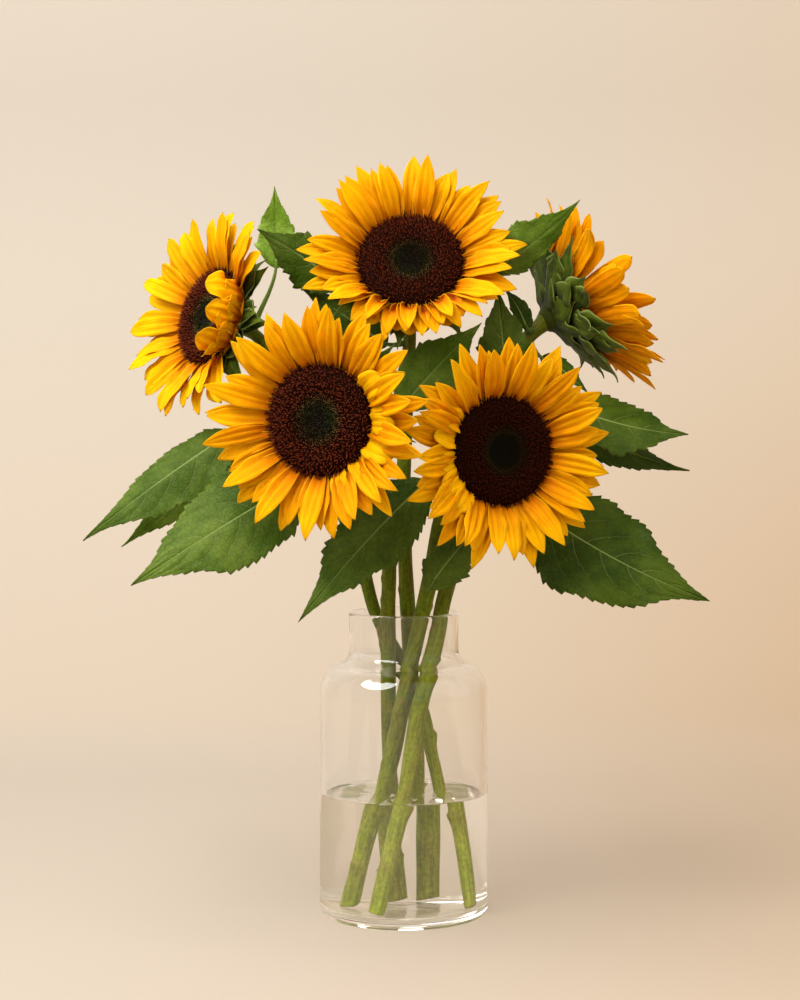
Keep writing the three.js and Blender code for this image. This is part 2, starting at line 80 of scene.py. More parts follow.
# Flower heads
PETALS_IN_ROW = 13
PETAL_ROOT_RADIUS = 36.8
PETAL_GRID, CURLED_GRID, BRACT_GRID = (18, 13), (22, 13), (15, 7)
PETAL_THICKNESS = 0.55
BRACT_THICKNESS = 0.8
LEAST_HALF_WIDTH = 0.12
DISC_RADIUS = 37.5
CALYX_DEPTH = 23.7
FLORETS = 2100
FLORET_SIDES = 4
PRONG_SIDES = 3

# Leaves: how far side veins run forward, as a share of the leaf's length, and how far apart
# teeth and veins are
VEIN_LEAN = 0.14
VEIN_CURVE = 0.24
TOOTH_SPACING = 6.5
VEIN_SPACING = 21
LEAF_HALF_THICKNESS = 0.22
STALK_RINGS, STALK_SIDES = 26, 10

# The five flowers: centre of the disc, the way it faces, and how its petals stand.
# cone is the petals' mean forward lean in degrees; curled lists the clock angles, from
# the top and clockwise as the flower is faced, of petals that fold over the disc; droop
# gives the clock angles between which petals bend down from a hollow base, and closed
# those between which they are short and stand up; warmth runs from 0 for a yellow head to
# 1 for an orange one. fold says what the curled petals do: over the disc, up and then out,
# or as small scoops with a rolled base. blunt petals have rounded ends.
# Each flower's disc brightness is painted light and shade: a head turned from the light has its
# disc painted darker.
PLAIN_FLOWER = dict(size=1, petal=47, curled=(), fold=None, blunt=False, droop=None,
                    closed=None, painted_disc_light=0.8)
FLOWERS = [PLAIN_FLOWER | given for given in (
    dict(name="left", centre=(-138, 20, 427), facing=(-0.766, -0.588, 0.26), size=0.94,
         cone=22, petal=48, curled=(64, 92, 122), fold="over", blunt=True,
         closed=(50, 140), warmth=-0.08, seed=11, stem_radius=5.6, scars=(0.3, 0.5),
         knots=(0.07, 0.15, 0.27, 0.36),
         stem=[(41, -15, 8.4), (26, 5, 88), (20, 10, 115), (13, 14, 146), (-2, 14, 180),
               (-19.8, 16, 214), (-30, 15, 250), (-45, 14, 290), (-62, 15, 325),
               (-82, 22, 362), (-97, 38, 398), (-106, 43, 413)]),
    dict(name="top", centre=(5, -5, 465), facing=(0, -0.877, 0.48), cone=30,
         curled=(143, 153, 163, 172, 181, 190, 200, 210), fold="scoop", droop=(125, 235),
         warmth=0.3, painted_disc_light=0.55, seed=23, stem_radius=6.2, scars=(0.22, 0.56),
         knots=(0.1, 0.17, 0.3, 0.44),
         stem=[(10, 42, 8.4), (10.5, 36, 88), (8, 31, 147), (4.5, 28, 185), (3.1, 25, 213),
               (1, 20, 256), (0, 18, 300), (1, 22, 345), (3, 31, 385), (4.5, 38, 418),
               (5, 33, 443)]),
    dict(name="right", centre=(119.6, 25, 434), facing=(0.854, 0.208, 0.478), cone=42,
         petal=50, blunt=True, warmth=0.9, seed=37, stem_radius=6.6, scars=(0.34, 0.62),
         knots=(0.08, 0.18, 0.26, 0.46),
         stem=[(-18, -40, 8.4), (-0.5, -30, 88), (5.5, -27, 122), (10, -25, 147),
               (16, -21, 173), (24, -10, 205), (29, 1, 228), (40, 5, 264), (54.6, 8, 299),
               (70, 11, 340), (79, 13, 380), (86, 15.5, 408)]),
    dict(name="lower_left", centre=(-56.4, -85, 356), facing=(-0.375, -0.927, 0.02),
         size=1.02, cone=25, curled=(58, 74, 92, 113, 135, 158), fold="out", warmth=0.42,
         seed=41, stem_radius=6.2, scars=(0.42, 0.6), knots=(0.06, 0.14, 0.33),
         stem=[(-3, 40, 8.4), (-9, 20, 88), (-10.5, 10, 122), (-11, 3, 155), (-11, -1, 189),
               (-11, -3, 216), (-10.4, -5, 247), (-12, -9, 275), (-20, -18, 310),
               (-32, -36, 340), (-40, -48, 351)]),
    dict(name="lower_right", centre=(67.3, -62, 334.4), facing=(0.42, -0.906, 0), cone=25,
         curled=(226, 244, 262, 282, 300), fold="out", warmth=0.32, painted_disc_light=0.1, seed=61,
         stem_radius=6.6, scars=(0.3, 0.66), knots=(0.09, 0.2, 0.29, 0.4),
         stem=[(-30, -2, 8.4), (-15, -8, 88), (-7, -10, 122), (-0.5, -12, 155),
               (6.6, -13, 189), (12.9, -14, 217), (19, -16, 245), (26, -18, 284),
               (37, -14, 314), (48, -22, 330)]),
)]

# The leaves: the stem each grows on and how far up, where its blade starts and ends, the
# side it turns its upper face to, its width, the sag of its midrib, the fold of its two
# halves in degrees, light, which is painted light and shade and runs from 0 for a leaf
# painted as in shade to 1 for one painted as brightly lit, and how wide its lower half is
# beside the upper one.
LEAF_COLUMNS = ("name", "stem", "at", "base", "tip", "face", "width", "sag", "fold", "light",
                "low_side")
LEAVES = [dict(zip(LEAF_COLUMNS, row)) for row in (
    ("far_left", "left", 0.66, (-119, 0, 347), (-225, -22, 270), (-0.25, -0.85, 0.45),
     54, (0, 0, 5), -14, 0.5, 0.7),
    ("behind_left", "left", 0.6, (-113, 17, 339), (-201, 10, 263), (0.2, -0.75, -0.6),
     44, (0, 8, 4), 12, 0.8, 1),
    ("front_left", "lower_left", 0.74, (-72, -35, 313), (-187.5, -62, 242),
     (-0.1, -0.92, 0.38), 68, (0, 0, 3), -8, 0.55, 1),
    ("front_centre", "lower_right", 0.76, (16, -25, 312), (-72, -75, 218),
     (0.15, -0.9, 0.35), 50, (0, 0, 8), -8, 0.35, 1),
    ("front_small", "lower_right", 0.57, (17, -25, 236), (57, -36, 284), (0.5, -0.85, -0.1),
     34, (-3, 0, 3), 8, 0.3, 1),
    ("front_right", "right", 0.72, (81, -14, 300), (213, -38, 229), (0.1, -0.92, 0.38),
     78, (0, 0, -13), -8, 0.06, 1),
    ("right_upper", "right", 0.8, (116, 2, 364), (201, -5, 344), (0.05, -0.8, 0.6),
     48, (0, 0, -8), -10, 0.2, 1),
    ("right_lower", "right", 0.75, (118, 20, 350), (204, 14, 317), (0.1, -0.6, -0.75),
     34, (0, 0, -6), 10, 0.2, 1),
    ("top_right", "top", 0.88, (60, 16, 457), (122, -31, 507), (0.35, -0.9, 0.1),
     37, (3, -10, -5), -10, 0.75, 0.7),
    ("top_left", "left", 0.93, (-92, 52, 462), (-93, 46, 521), (0.1, -0.98, 0.1),
     27, (0, 4, 0), 8, 1, 1),
    ("inner_left", "top", 0.84, (-42, 26, 449), (-104, 14, 489), (-0.2, -0.9, 0.3),
     38, (0, 0, 2), -8, 0.5, 1),
    ("centre", "top", 0.7, (-2, -6, 362), (54, -30, 422), (0.3, -0.95, 0.1),
     42, (-2, 0, 2), -8, 0.7, 1),
    ("inner_right", "right", 0.84, (73, -8, 376), (66, -7, 447), (0.15, -0.98, 0),
     36, (0, -3, 0), 6, 0.2, 1),
    ("behind_centre", "top", 0.79, (-12, 27, 406), (-73, 32, 447), (-0.1, -0.95, 0.25),
     34, (0, 0, 3), -8, 0.3, 1),
    ("neck_upper", "right", 0.96, (88, 8, 417), (71, 9, 447), (0.5, -0.85, 0.1),
     15, (3, 0, 3), 8, 0.1, 1),
    ("neck_lower", "right", 0.93, (97, 8, 398), (132, 4, 371), (0.3, -0.9, 0.3),
     15, (0, 0, 7), 10, 0.1, 1),
)]


# Numbers and curves

def make_random(seed):
    """A repeatable draw between 0 and 1, the same as the part's own."""
    state = seed

    def draw():
        nonlocal state
        state = (state * 1664525 + 1013904223) % 2**32
        return state / 2**32

    return draw


def unit(vectors):
    vectors = np.asarray(vectors, float)
    return vectors / np.linalg.norm(vectors, axis=-1, keepdims=True)


def smooth(values, low, high):
    """0 below low, 1 above high, and a smooth rise between."""
    share = np.clip((np.asarray(values, float) - low) / (high - low), 0, 1)
    return share * share * (3 - 2 * share)


def through(knots, places):
    """A smooth line through knots of (place, value), read at places."""
    at, value = np.array(knots, float).T
    slope = np.gradient(value, at)
    places = np.clip(places, at[0], at[-1])
    i = np.clip(np.searchsorted(at, places) - 1, 0, len(at) - 2)
    gap = at[i + 1] - at[i]
    u = (places - at[i]) / gap
    return ((2 * u**3 - 3 * u**2 + 1) * value[i] + (u**3 - 2 * u**2 + u) * gap * slope[i]
            + (3 * u**2 - 2 * u**3) * value[i + 1] + (u**3 - u**2) * gap * slope[i + 1])


def catmull_rom(points, t):
    """A smooth curve through the points, which t from 0 to 1 runs along evenly by point."""
    p = np.array(points, float)
    p = np.vstack([2 * p[0] - p[1], p, 2 * p[-1] - p[-2]])
    place = np.asarray(t, float) * (len(p) - 3)
    i = np.minimum(place.astype(int), len(p) - 4)
    u = (place - i)[..., None]
    before, start, end, after = p[i], p[i + 1], p[i + 2], p[i + 3]
    leave, arrive = 0.5 * (end - before), 0.5 * (after - start)
    return (start + u * leave + u**2 * (3 * (end - start) - 2 * leave - arrive)
            + u**3 * (2 * (start - end) + leave + arrive))


def bezier(points, t):
    """A Bezier curve of any number of control points."""
    t = np.asarray(t, float)[:, None, None]
    level = np.array(points, float)[None].repeat(len(t), 0)
    while level.shape[1] > 1:
        level = level[:, :-1] * (1 - t) + level[:, 1:] * t
    return level[:, 0]


def bell(offset, width):
    """1 at no offset, and a smooth fall to 0 on both sides."""
    return np.exp(-(offset / width) ** 2)


def turns(count):
    """Even angles all round."""
    return np.arange(count) * 2 * math.pi / count


def angle_from(turn, middle):
    return np.angle(np.exp(1j * (turn - middle)))


# Mesh making

def grid_cells(rows, columns, closed):
    """The corners of each cell of a grid of points, whose columns may close on themselves."""
    index = np.arange(rows * columns).reshape(rows, columns)
    if closed:
        index = np.hstack([index, index[:, :1]])
    corners = [index[:-1, :-1], index[1:, :-1], index[1:, 1:], index[:-1, 1:]]
    return np.stack(corners, -1).reshape(-1, 4)


def copies(faces, count, bodies):
    """The same faces again for each body, whose points follow each other."""
    shift = np.arange(bodies)[:, None, None] * count
    return (np.asarray(faces)[None] + shift).reshape(-1, np.shape(faces)[-1])


def plates(front, back):
    """Thin closed bodies between two grids, each of shape (bodies, rows, columns, 3)."""
    bodies, rows, columns = front.shape[:3]
    count = rows * columns
    index = np.arange(count).reshape(rows, columns)
    cells = grid_cells(rows, columns, False)
    loop = np.concatenate([index[:-1, 0], index[-1, :-1], index[:0:-1, -1], index[0, :0:-1]])
    ahead = np.roll(loop, -1)
    rim = np.stack([ahead, loop, loop + count, ahead + count], -1)
    faces = np.vstack([cells, cells[:, ::-1] + count, rim])
    sides = [side.reshape(bodies, count, 3) for side in (front, back)]
    return np.concatenate(sides, 1).reshape(-1, 3), copies(faces, 2 * count, bodies)


def tube_faces(rows, sides, bodies=1):
    """Faces of closed tubes whose points run ring by ring, with a point at each end."""
    count = rows * sides
    cells = grid_cells(rows, sides, True)[:, ::-1]
    ring = np.arange(sides)
    ahead = np.roll(ring, -1)
    low = np.stack([ahead, ring, np.full(sides, count)], -1)
    high = np.stack([ring, ahead, np.full(sides, count + 1)], -1)
    high[:, :2] += count - sides
    ends = np.vstack([low, high])
    return [copies(cells, count + 2, bodies), copies(ends, count + 2, bodies)]


def tube_points(centres, side, across, radius, turn):
    """Rings of points round a line."""
    return (centres[:, None] + side[:, None] * (radius * np.cos(turn))[..., None]
            + across[:, None] * (radius * np.sin(turn))[..., None])


def frames_along(centres, start=(1.0, 0, 0)):
    """Two directions across a line of points, which turn as little as they can along it."""
    along = unit(np.gradient(centres, axis=0))
    side = np.array(start, float)
    sides = []
    for direction in along:
        side = unit(side - side.dot(direction) * direction)
        sides.append(side)
    return np.array(sides), np.cross(along, sides)


def add_object(name, data):
    thing = bpy.data.objects.new(name, data)
    bpy.context.scene.collection.objects.link(thing)
    return thing


def build(name, points, faces, material, node, attributes):
    """A smooth mesh piece that stands for a CAD node, with a number per point for each look."""
    mesh = bpy.data.meshes.new(name)
    corners = np.concatenate([g.reshape(-1) for g in faces]).astype(np.int32)
    sizes = np.concatenate([np.full(len(g), g.shape[1]) for g in faces])
    mesh.vertices.add(len(points))
    mesh.vertices.foreach_set("co", (np.asarray(points) * MM).astype(np.float32).ravel())
    mesh.loops.add(len(corners))
    mesh.loops.foreach_set("vertex_index", corners)
    mesh.polygons.add(len(sizes))
    starts = np.concatenate([[0], np.cumsum(sizes)[:-1]]).astype(np.int32)
    mesh.polygons.foreach_set("loop_start", starts)
    mesh.polygons.foreach_set("use_smooth", np.ones(len(sizes), bool))
    mesh.update(calc_edges=True)
    mesh.validate()
    for key, values in attributes.items():
        layer = mesh.attributes.new(key, "FLOAT", "POINT")
        layer.data.foreach_set("value", np.asarray(values, np.float32).ravel())
    mesh.materials.append(material)
    piece = add_object(name, mesh)
    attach(piece, "root")
    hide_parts(node)
    return piece


def gather(bodies):
    """One list of points, faces and numbers from several made apart."""
    points, faces, numbers, shift = [], [], {}, 0
    for body_points, body_faces, body_numbers in bodies:
        groups = body_faces if isinstance(body_faces, list) else [body_faces]
        faces += [g + shift for g in groups]
        points.append(body_points)
        for key, values in body_numbers.items():
            numbers.setdefault(key, []).append(np.asarray(values, float).ravel())
        shift += len(body_points)
    return np.vstack(points), faces, {k: np.concatenate(v) for k, v in numbers.items()}


def same_all_over(points, **numbers):
    return {key: np.full(len(points), value) for key, value in numbers.items()}


def lathe(profile, segments):
    """Turns a line of (radius, height) that starts and ends on the axis about Z."""
    profile = np.array(profile, float)
    ends, rings = profile[[0, -1]], profile[1:-1]
    angle = turns(segments)
    points = np.stack([rings[:, :1] * np.cos(angle), rings[:, :1] * np.sin(angle),
                       rings[:, 1:].repeat(segments, 1)], -1).reshape(-1, 3)
    caps = np.array([[0, 0, ends[0, 1]], [0, 0, ends[1, 1]]])
    return np.vstack([points, caps]), tube_faces(len(rings), segments)


def turned(profile, segments, **numbers):
    """A lathe body with the same number all over it for each look."""
    points, faces = lathe(profile, segments)
    return points, faces, same_all_over(points, **numbers)


# Materials

class Nodes:
    """Short forms for the nodes of one material."""

    def __init__(self, name):
        self.material = bpy.data.materials.new(name)
        self.material.use_nodes = True
        self.tree = self.material.node_tree
        self.tree.nodes.clear()

    def feed(self, socket, value):
        if isinstance(value, bpy.types.NodeSocket):
            self.tree.links.new(value, socket)
        else:
            socket.default_value = value

    def add(self, kind, inputs=None, **settings):
        node = self.tree.nodes.new("ShaderNode" + kind)
        for key, value in settings.items():
            setattr(node, key, value)
        for key, value in (inputs or {}).items():
            self.feed(node.inputs[key], value)
        return node

    def out(self, kind, inputs=None, **settings):
        return self.add(kind, inputs, **settings).outputs[0]

    def numbers(self, *names):
        """What build has stored on the mesh under these names."""
        return [self.add("Attribute", attribute_name=name).outputs["Fac"] for name in names]

    def math(self, operation, a, b=0.0):
        return self.out("Math", {0: a, 1: b, 2: 0.0}, operation=operation)

    def times(self, a, b):
        return self.math("MULTIPLY", a, b)

    def plus(self, a, b):
        return self.math("ADD", a, b)

    def vector(self, x, y, z):
        return self.out("CombineXYZ", {0: x, 1: y, 2: z})

    def place(self):
        return self.add("TexCoord").outputs["Object"]

    def noise(self, vector, scale, detail=3.0, roughness=0.55):
        inputs = {"Vector": vector, "Scale": scale, "Detail": detail, "Roughness": roughness}
        return self.add("TexNoise", inputs).outputs["Fac"]

    def ramp(self, factor, stops):
        node = self.add("ValToRGB", {0: factor})
        ramp = node.color_ramp
        while len(ramp.elements) < len(stops):
            ramp.elements.new(0.5)
        for element, (at, colour) in zip(ramp.elements, stops):
            element.position = at
            element.color = (*colour, 1)
        return node.outputs["Color"]

    def span(self, value, low, high, to_low=0.0, to_high=1.0):
        inputs = {0: value, 1: low, 2: high, 3: to_low, 4: to_high}
        return self.out("MapRange", inputs, interpolation_type="SMOOTHSTEP")

    def mix(self, factor, a, b, blend="MIX"):
        node = self.add("Mix", {"Factor": factor}, data_type="RGBA", blend_type=blend)
        for index, value in ((6, a), (7, b)):
            solid = isinstance(value, tuple)
            self.feed(node.inputs[index], (*value, 1) if solid else value)
        return node.outputs[2]

    def tint(self, colour, by):
        """A colour times a colour."""
        return self.mix(1.0, colour, by, "MULTIPLY")

    def shade(self, colour, level):
        """A colour times a number."""
        return self.tint(colour, self.out("CombineColor", {0: level, 1: level, 2: level}))

    def bump(self, height, strength, distance):
        return self.out("Bump", {"Height": height, "Strength": strength,
                                 "Distance": distance * MM})

    def surface(self, colour, roughness, specular, **more):
        inputs = {"Base Color": colour, "Roughness": roughness, "Specular IOR Level": specular}
        more = {key.replace("_", " "): value for key, value in more.items()}
        return self.out("BsdfPrincipled", inputs | more)

    def glow(self, colour, normal):
        return self.out("BsdfTranslucent", {"Color": colour, "Normal": normal})

    def blend(self, share, a, b):
        return self.out("MixShader", {0: share, 1: a, 2: b})

    def finish(self, shader):
        output = self.add("OutputMaterial")
        self.tree.links.new(shader, output.inputs["Surface"])
        return self.material


# Colours. In a list, each goes with its place: from a petal's root to its tip, from a disc's
# centre to its edge, or from a stem's cut end to its head.
# The deep orange towards a petal's root is partly its own colour and partly painted shade near
# the disc.
PETAL_WARM = [(0.0, (0.26, 0.026, 0.0)), (0.14, (0.54, 0.115, 0.0)), (0.36, (0.84, 0.29, 0.0)),
              (0.75, (0.93, 0.39, 0.0)), (0.97, (0.9, 0.42, 0.002)), (1.0, (0.34, 0.17, 0.01))]
PETAL_YELLOW = [(0.0, (0.42, 0.066, 0.0)), (0.12, (0.74, 0.225, 0.0)),
                (0.34, (0.95, 0.45, 0.0)), (0.75, (1.0, 0.56, 0.0)),
                (0.97, (0.94, 0.54, 0.004)), (1.0, (0.36, 0.22, 0.01))]
# Of these three, the second is painted shade for the petals' grooves and the third a painted
# highlight on their rims.
PETAL_LEMON, PETAL_GROOVE_SHADE, PETAL_RIM_HIGHLIGHT = (1.0, 0.68, 0.0), (0.66, 0.17, 0.0), (1.0, 0.66, 0.01)
# Floret feet are near black: their own dark colour and painted shade deep between the florets.
FLORET_FEET_AND_SHADE = [(0.0, (0.005, 0.007, 0.003)), (0.36, (0.008, 0.008, 0.002)),
               (0.5, (0.014, 0.003, 0.001)), (1.0, (0.016, 0.003, 0.001))]
FLORET_TIPS = [(0.0, (0.026, 0.030, 0.026)), (0.33, (0.022, 0.026, 0.008)),
               (0.41, (0.130, 0.092, 0.030)), (0.47, (0.110, 0.052, 0.020)),
               (0.56, (0.165, 0.030, 0.010)), (0.9, (0.150, 0.026, 0.009)),
               (1.0, (0.045, 0.009, 0.003))]
# A painted glint on the tips of some florets.
FLORET_GLINT = (0.24, 0.12, 0.09)
# Greens for a leaf painted as in shade and for one painted as lit, each as a darker and a paler
# patch.
LEAF_SHADED_GREENS = (0.014, 0.034, 0.0), (0.046, 0.078, 0.002)
LEAF_LIT_GREENS = (0.074, 0.142, 0.008), (0.160, 0.245, 0.038)
LEAF_VEIN, LEAF_MARGIN = (0.24, 0.32, 0.09), (0.12, 0.11, 0.02)
LEAF_UNDERSIDE, LEAF_THROUGH = (1.6, 1.5, 2.0), (1.6, 1.7, 0.5)
BRACT_GREEN, BRACT_RIM = ((0.022, 0.040, 0.001), (0.070, 0.102, 0.005)), (0.17, 0.21, 0.05)
# Painted light: stems are painted paler below the water's level, for how they look lit in the
# water.
STEM_GREEN = [(0.0, (0.185, 0.225, 0.014)), (0.2, (0.165, 0.198, 0.008)),
              (0.32, (0.104, 0.138, 0.001)), (1.0, (0.078, 0.100, 0.001))]
STEM_PATCH = [(0.0, (0.225, 0.215, 0.035)), (0.32, (0.135, 0.125, 0.004)),
              (1.0, (0.105, 0.074, 0.002))]
STEM_SCAR, STEM_SHEEN = (0.15, 0.085, 0.02), (0.75, 0.85, 0.35, 1)
GLASS_TINT, GLASS_IOR, GLASS_SHINE = (0.998, 1.0, 0.999, 1), 1.47, 0.13
WATER_TINT, WATER_IOR, WATER_SHINE = (1.0, 0.998, 0.97, 1), 1.333, 0.3
PETAL_GLOW, LEAF_GLOW = 0.34, 0.22  # how much light comes through


def petal_material():
    """Golden rays, orange at the root partly as painted shade, with painted shade in the
    grooves and a painted highlight on the rims; finely streaked along and a little see-through.
    """
    n = Nodes("petal")
    along, across, tone = n.numbers("along", "across", "tone")

    def streaked(wide, long, shift, scale, detail):
        lines = n.vector(n.times(across, wide), n.times(along, long), n.times(tone, shift))
        return n.noise(lines, scale, detail, 0.6)

    streaks, threads = streaked(5.0, 0.9, 9.0, 2.2, 4.0), streaked(9.0, 0.7, 5.0, 2.6, 3.0)
    mottle = n.noise(n.place(), 90.0, 3.0)
    colour = n.mix(tone, n.ramp(along, PETAL_YELLOW), n.ramp(along, PETAL_WARM))
    lemon = n.times(n.times(tone, -1.2), n.span(along, 0.1, 0.5))
    colour = n.mix(lemon, colour, PETAL_LEMON)
    # Painted shade in the grooves between the pleats, strongest towards the root.
    wave = n.math("COSINE", n.times(across, 3 * math.pi))
    painted_groove_shade = n.times(n.span(wave, -1.0, 0.4, 1.0, 0.0), n.span(along, 0.85, 0.3))
    colour = n.mix(n.times(painted_groove_shade, 0.30), colour, PETAL_GROOVE_SHADE)
    # Painted highlight: the petals' raised rims are painted paler, as if catching the light.
    painted_rim_light = n.span(n.math("ABSOLUTE", across), 0.86, 1.0)
    colour = n.mix(n.times(painted_rim_light, 0.6), colour, PETAL_RIM_HIGHLIGHT)
    colour = n.shade(colour, n.span(streaks, 0.3, 0.7, 0.80, 1.08))
    colour = n.shade(colour, n.span(mottle, 0.3, 0.7, 0.92, 1.04))
    normal = n.bump(n.plus(streaks, n.times(threads, 0.8)), 0.8, 0.55)
    surface = n.surface(colour, 0.55, 0.05, Normal=normal)
    return n.finish(n.blend(PETAL_GLOW, surface, n.glow(colour, normal)))


def disc_material():
    """Packed florets: maroon-brown outside, an olive-gold ring, green-black in the middle, with
    painted shade low between them and painted glints on some tips.
    """
    n = Nodes("disc")
    ring, up, tone = n.numbers("ring", "up", "tone")
    # The florets' lower parts take the near-black feet colour, partly painted shade.
    colour = n.mix(n.span(up, 0.5, 1.0), n.ramp(ring, FLORET_FEET_AND_SHADE), n.ramp(ring, FLORET_TIPS))
    colour = n.shade(colour, n.span(tone, 0.0, 1.0, 0.3, 1.8))
    # Painted glints: pale specks on the tops of some florets.
    painted_glint = n.times(n.span(up, 0.9, 1.0), n.span(tone, 0.45, 0.85, 0.0, 0.6))
    return n.finish(n.surface(n.mix(painted_glint, colour, FLORET_GLINT), 0.7, 0.02))


def leaf_material():
    """Matt green, with painted light and shade leaf by leaf and pale veins; the underside is
    paler and the blade lets light through.
    """
    n = Nodes("leaf")
    along, across, beside, face, light, veins = n.numbers("along", "across", "beside", "face",
                                                          "light", "veins")
    patches = n.noise(n.place(), 24.0, 5.0, 0.62)
    cells = n.add("TexVoronoi", {"Vector": n.place(), "Scale": 260.0},
                  feature="DISTANCE_TO_EDGE").outputs["Distance"]
    dark, pale = (n.mix(n.span(patches, 0.35, 0.65), *pair) for pair in (LEAF_SHADED_GREENS, LEAF_LIT_GREENS))
    # Painted light and shade: each leaf's light mixes the shaded and lit greens, and the palest
    # leaves are painted brighter still.
    colour = n.mix(light, dark, pale)
    colour = n.shade(colour, n.span(light, 0.6, 1.0, 1.0, 1.8))
    # side veins curve forward from the midrib, staggered from one half to the other
    wide = n.math("ABSOLUTE", across)
    back = n.plus(n.times(wide, VEIN_LEAN), n.times(n.math("POWER", wide, 2.0), VEIN_CURVE))
    half = n.times(n.math("GREATER_THAN", across, 0.0), 0.5)
    run = n.plus(n.times(n.math("SUBTRACT", along, back), veins), half)
    apart = n.math("PINGPONG", run, 0.5)
    line = n.times(n.span(apart, 0.0, 0.03, 1.0, 0.0), n.span(wide, 1.0, 0.2, 0.1, 1.0))
    # Painted highlight on the pillows between the side veins, and painted shade along the
    # veins.
    colour = n.shade(colour, n.span(apart, 0.0, 0.5, 0.92, 1.05))
    colour = n.shade(colour, n.span(cells, 0.0, 0.09, 0.84, 1.03))
    rib_width = n.span(along, 0.0, 1.0, 0.95, 0.26)
    rib = n.span(n.math("DIVIDE", n.math("ABSOLUTE", beside), rib_width), 0.35, 1.0, 1.0, 0.0)
    rib = n.times(rib, n.span(along, 0.1, 1.0, 0.85, 0.35))
    colour = n.mix(n.math("MAXIMUM", n.times(line, 0.30), rib), colour, LEAF_VEIN)
    colour = n.mix(face, n.tint(colour, LEAF_UNDERSIDE), colour)
    margin = n.span(wide, 0.965, 1.0, 0.0, 0.3)
    tip = n.span(along, 0.97, 1.0, 0.0, 0.6)
    colour = n.mix(n.math("MAXIMUM", margin, tip), colour, LEAF_MARGIN)
    relief = n.plus(n.span(cells, 0.0, 0.14), n.times(patches, 1.2))
    relief = n.plus(relief, n.span(apart, 0.0, 0.08, 0.0, 0.8))
    normal = n.bump(relief, 0.5, 0.35)
    surface = n.surface(colour, 0.48, 0.1, Normal=normal)
    glow = n.glow(n.tint(colour, LEAF_THROUGH), normal)
    return n.finish(n.blend(LEAF_GLOW, surface, glow))


def calyx_material():
    """Dark green bracts, streaked lengthways, with paler rims, and painted shade towards their
    roots and on the cup.
    """
    n = Nodes("calyx")
    along, across, tone = n.numbers("along", "across", "tone")
    streaks = n.noise(n.vector(n.times(across, 7.0), along, tone), 1.6, 3.0)
    patches = n.noise(n.place(), 60.0, 3.0)
    colour = n.mix(n.span(patches, 0.3, 0.7), *BRACT_GREEN)
    colour = n.shade(colour, n.span(streaks, 0.3, 0.7, 0.6, 1.3))
    # Painted shade: darker towards the bracts' roots and on the cup, where they tuck under one
    # another.
    colour = n.shade(colour, n.span(along, 0.0, 0.45, 0.5, 1.15))
    rim = n.span(n.math("ABSOLUTE", across), 0.82, 1.0, 0.0, 0.8)
    colour = n.mix(rim, colour, BRACT_RIM)
    hairs = n.noise(n.place(), 900.0, 2.0)
    normal = n.bump(n.plus(streaks, n.times(hairs, 0.4)), 0.5, 0.3)
    return n.finish(n.surface(colour, 0.6, 0.14, Normal=normal, Sheen_Weight=0.02,
                              Sheen_Roughness=0.4))


def stem_material():
    """Olive-green stems, streaked lengthways, paler at the cut and at the leaf scars, and
    painted paler up to the water's level as painted light.
    """
    n = Nodes("stem")
    along, turn, scar = n.numbers("along", "turn", "scar")
    lines = n.vector(n.math("COSINE", turn), n.math("SINE", turn), n.times(along, 9.0))
    streaks = n.noise(lines, 3.4, 5.0, 0.68)
    patches = n.noise(n.place(), 38.0, 4.0, 0.6)
    colour = n.mix(n.span(patches, 0.42, 0.66, 0.0, 0.6), n.ramp(along, STEM_GREEN),
                   n.ramp(along, STEM_PATCH))
    colour = n.shade(colour, n.span(streaks, 0.3, 0.7, 0.62, 1.3))
    hairs, specks, warts = (n.noise(n.place(), scale, detail)
                            for scale, detail in ((1400.0, 2.0), (420.0, 2.0), (300.0, 3.0)))
    colour = n.shade(colour, n.span(specks, 0.3, 0.7, 0.8, 1.18))
    colour = n.mix(n.times(scar, 0.8), colour, STEM_SCAR)
    normal = n.bump(n.plus(n.plus(streaks, n.times(hairs, 0.4)), warts), 0.7, 0.5)
    return n.finish(n.surface(colour, 0.5, 0.12, Normal=normal, Sheen_Weight=0.12,
                              Sheen_Roughness=0.35, Sheen_Tint=STEM_SHEEN))


def clear_material(name, tint, ior, shine):
    """Clear and smooth, and it lets light reach what is behind it."""
    n = Nodes(name)
    body = n.surface(tint, 0.0, shine, IOR=ior, Transmission_Weight=1.0)
    through_it = n.out("BsdfTransparent", {"Color": tint})
    path = n.add("LightPath").outputs
    lit = n.math("MAXIMUM", path["Is Shadow Ray"], path["Is Diffuse Ray"])
    trapped = n.math("GREATER_THAN", path["Glossy Depth"], 1.5)
    return n.finish(n.blend(n.math("MAXIMUM", lit, trapped), body, through_it))


# Vase and water

def arc(centre, radius, start, end, steps):
    """Points of (radius, height) round a centre, from one angle in degrees to another."""
    angle = np.radians(np.linspace(start, end, steps + 1))
    return [(centre[0] + radius * math.cos(a), centre[1] + radius * math.sin(a)) for a in angle]


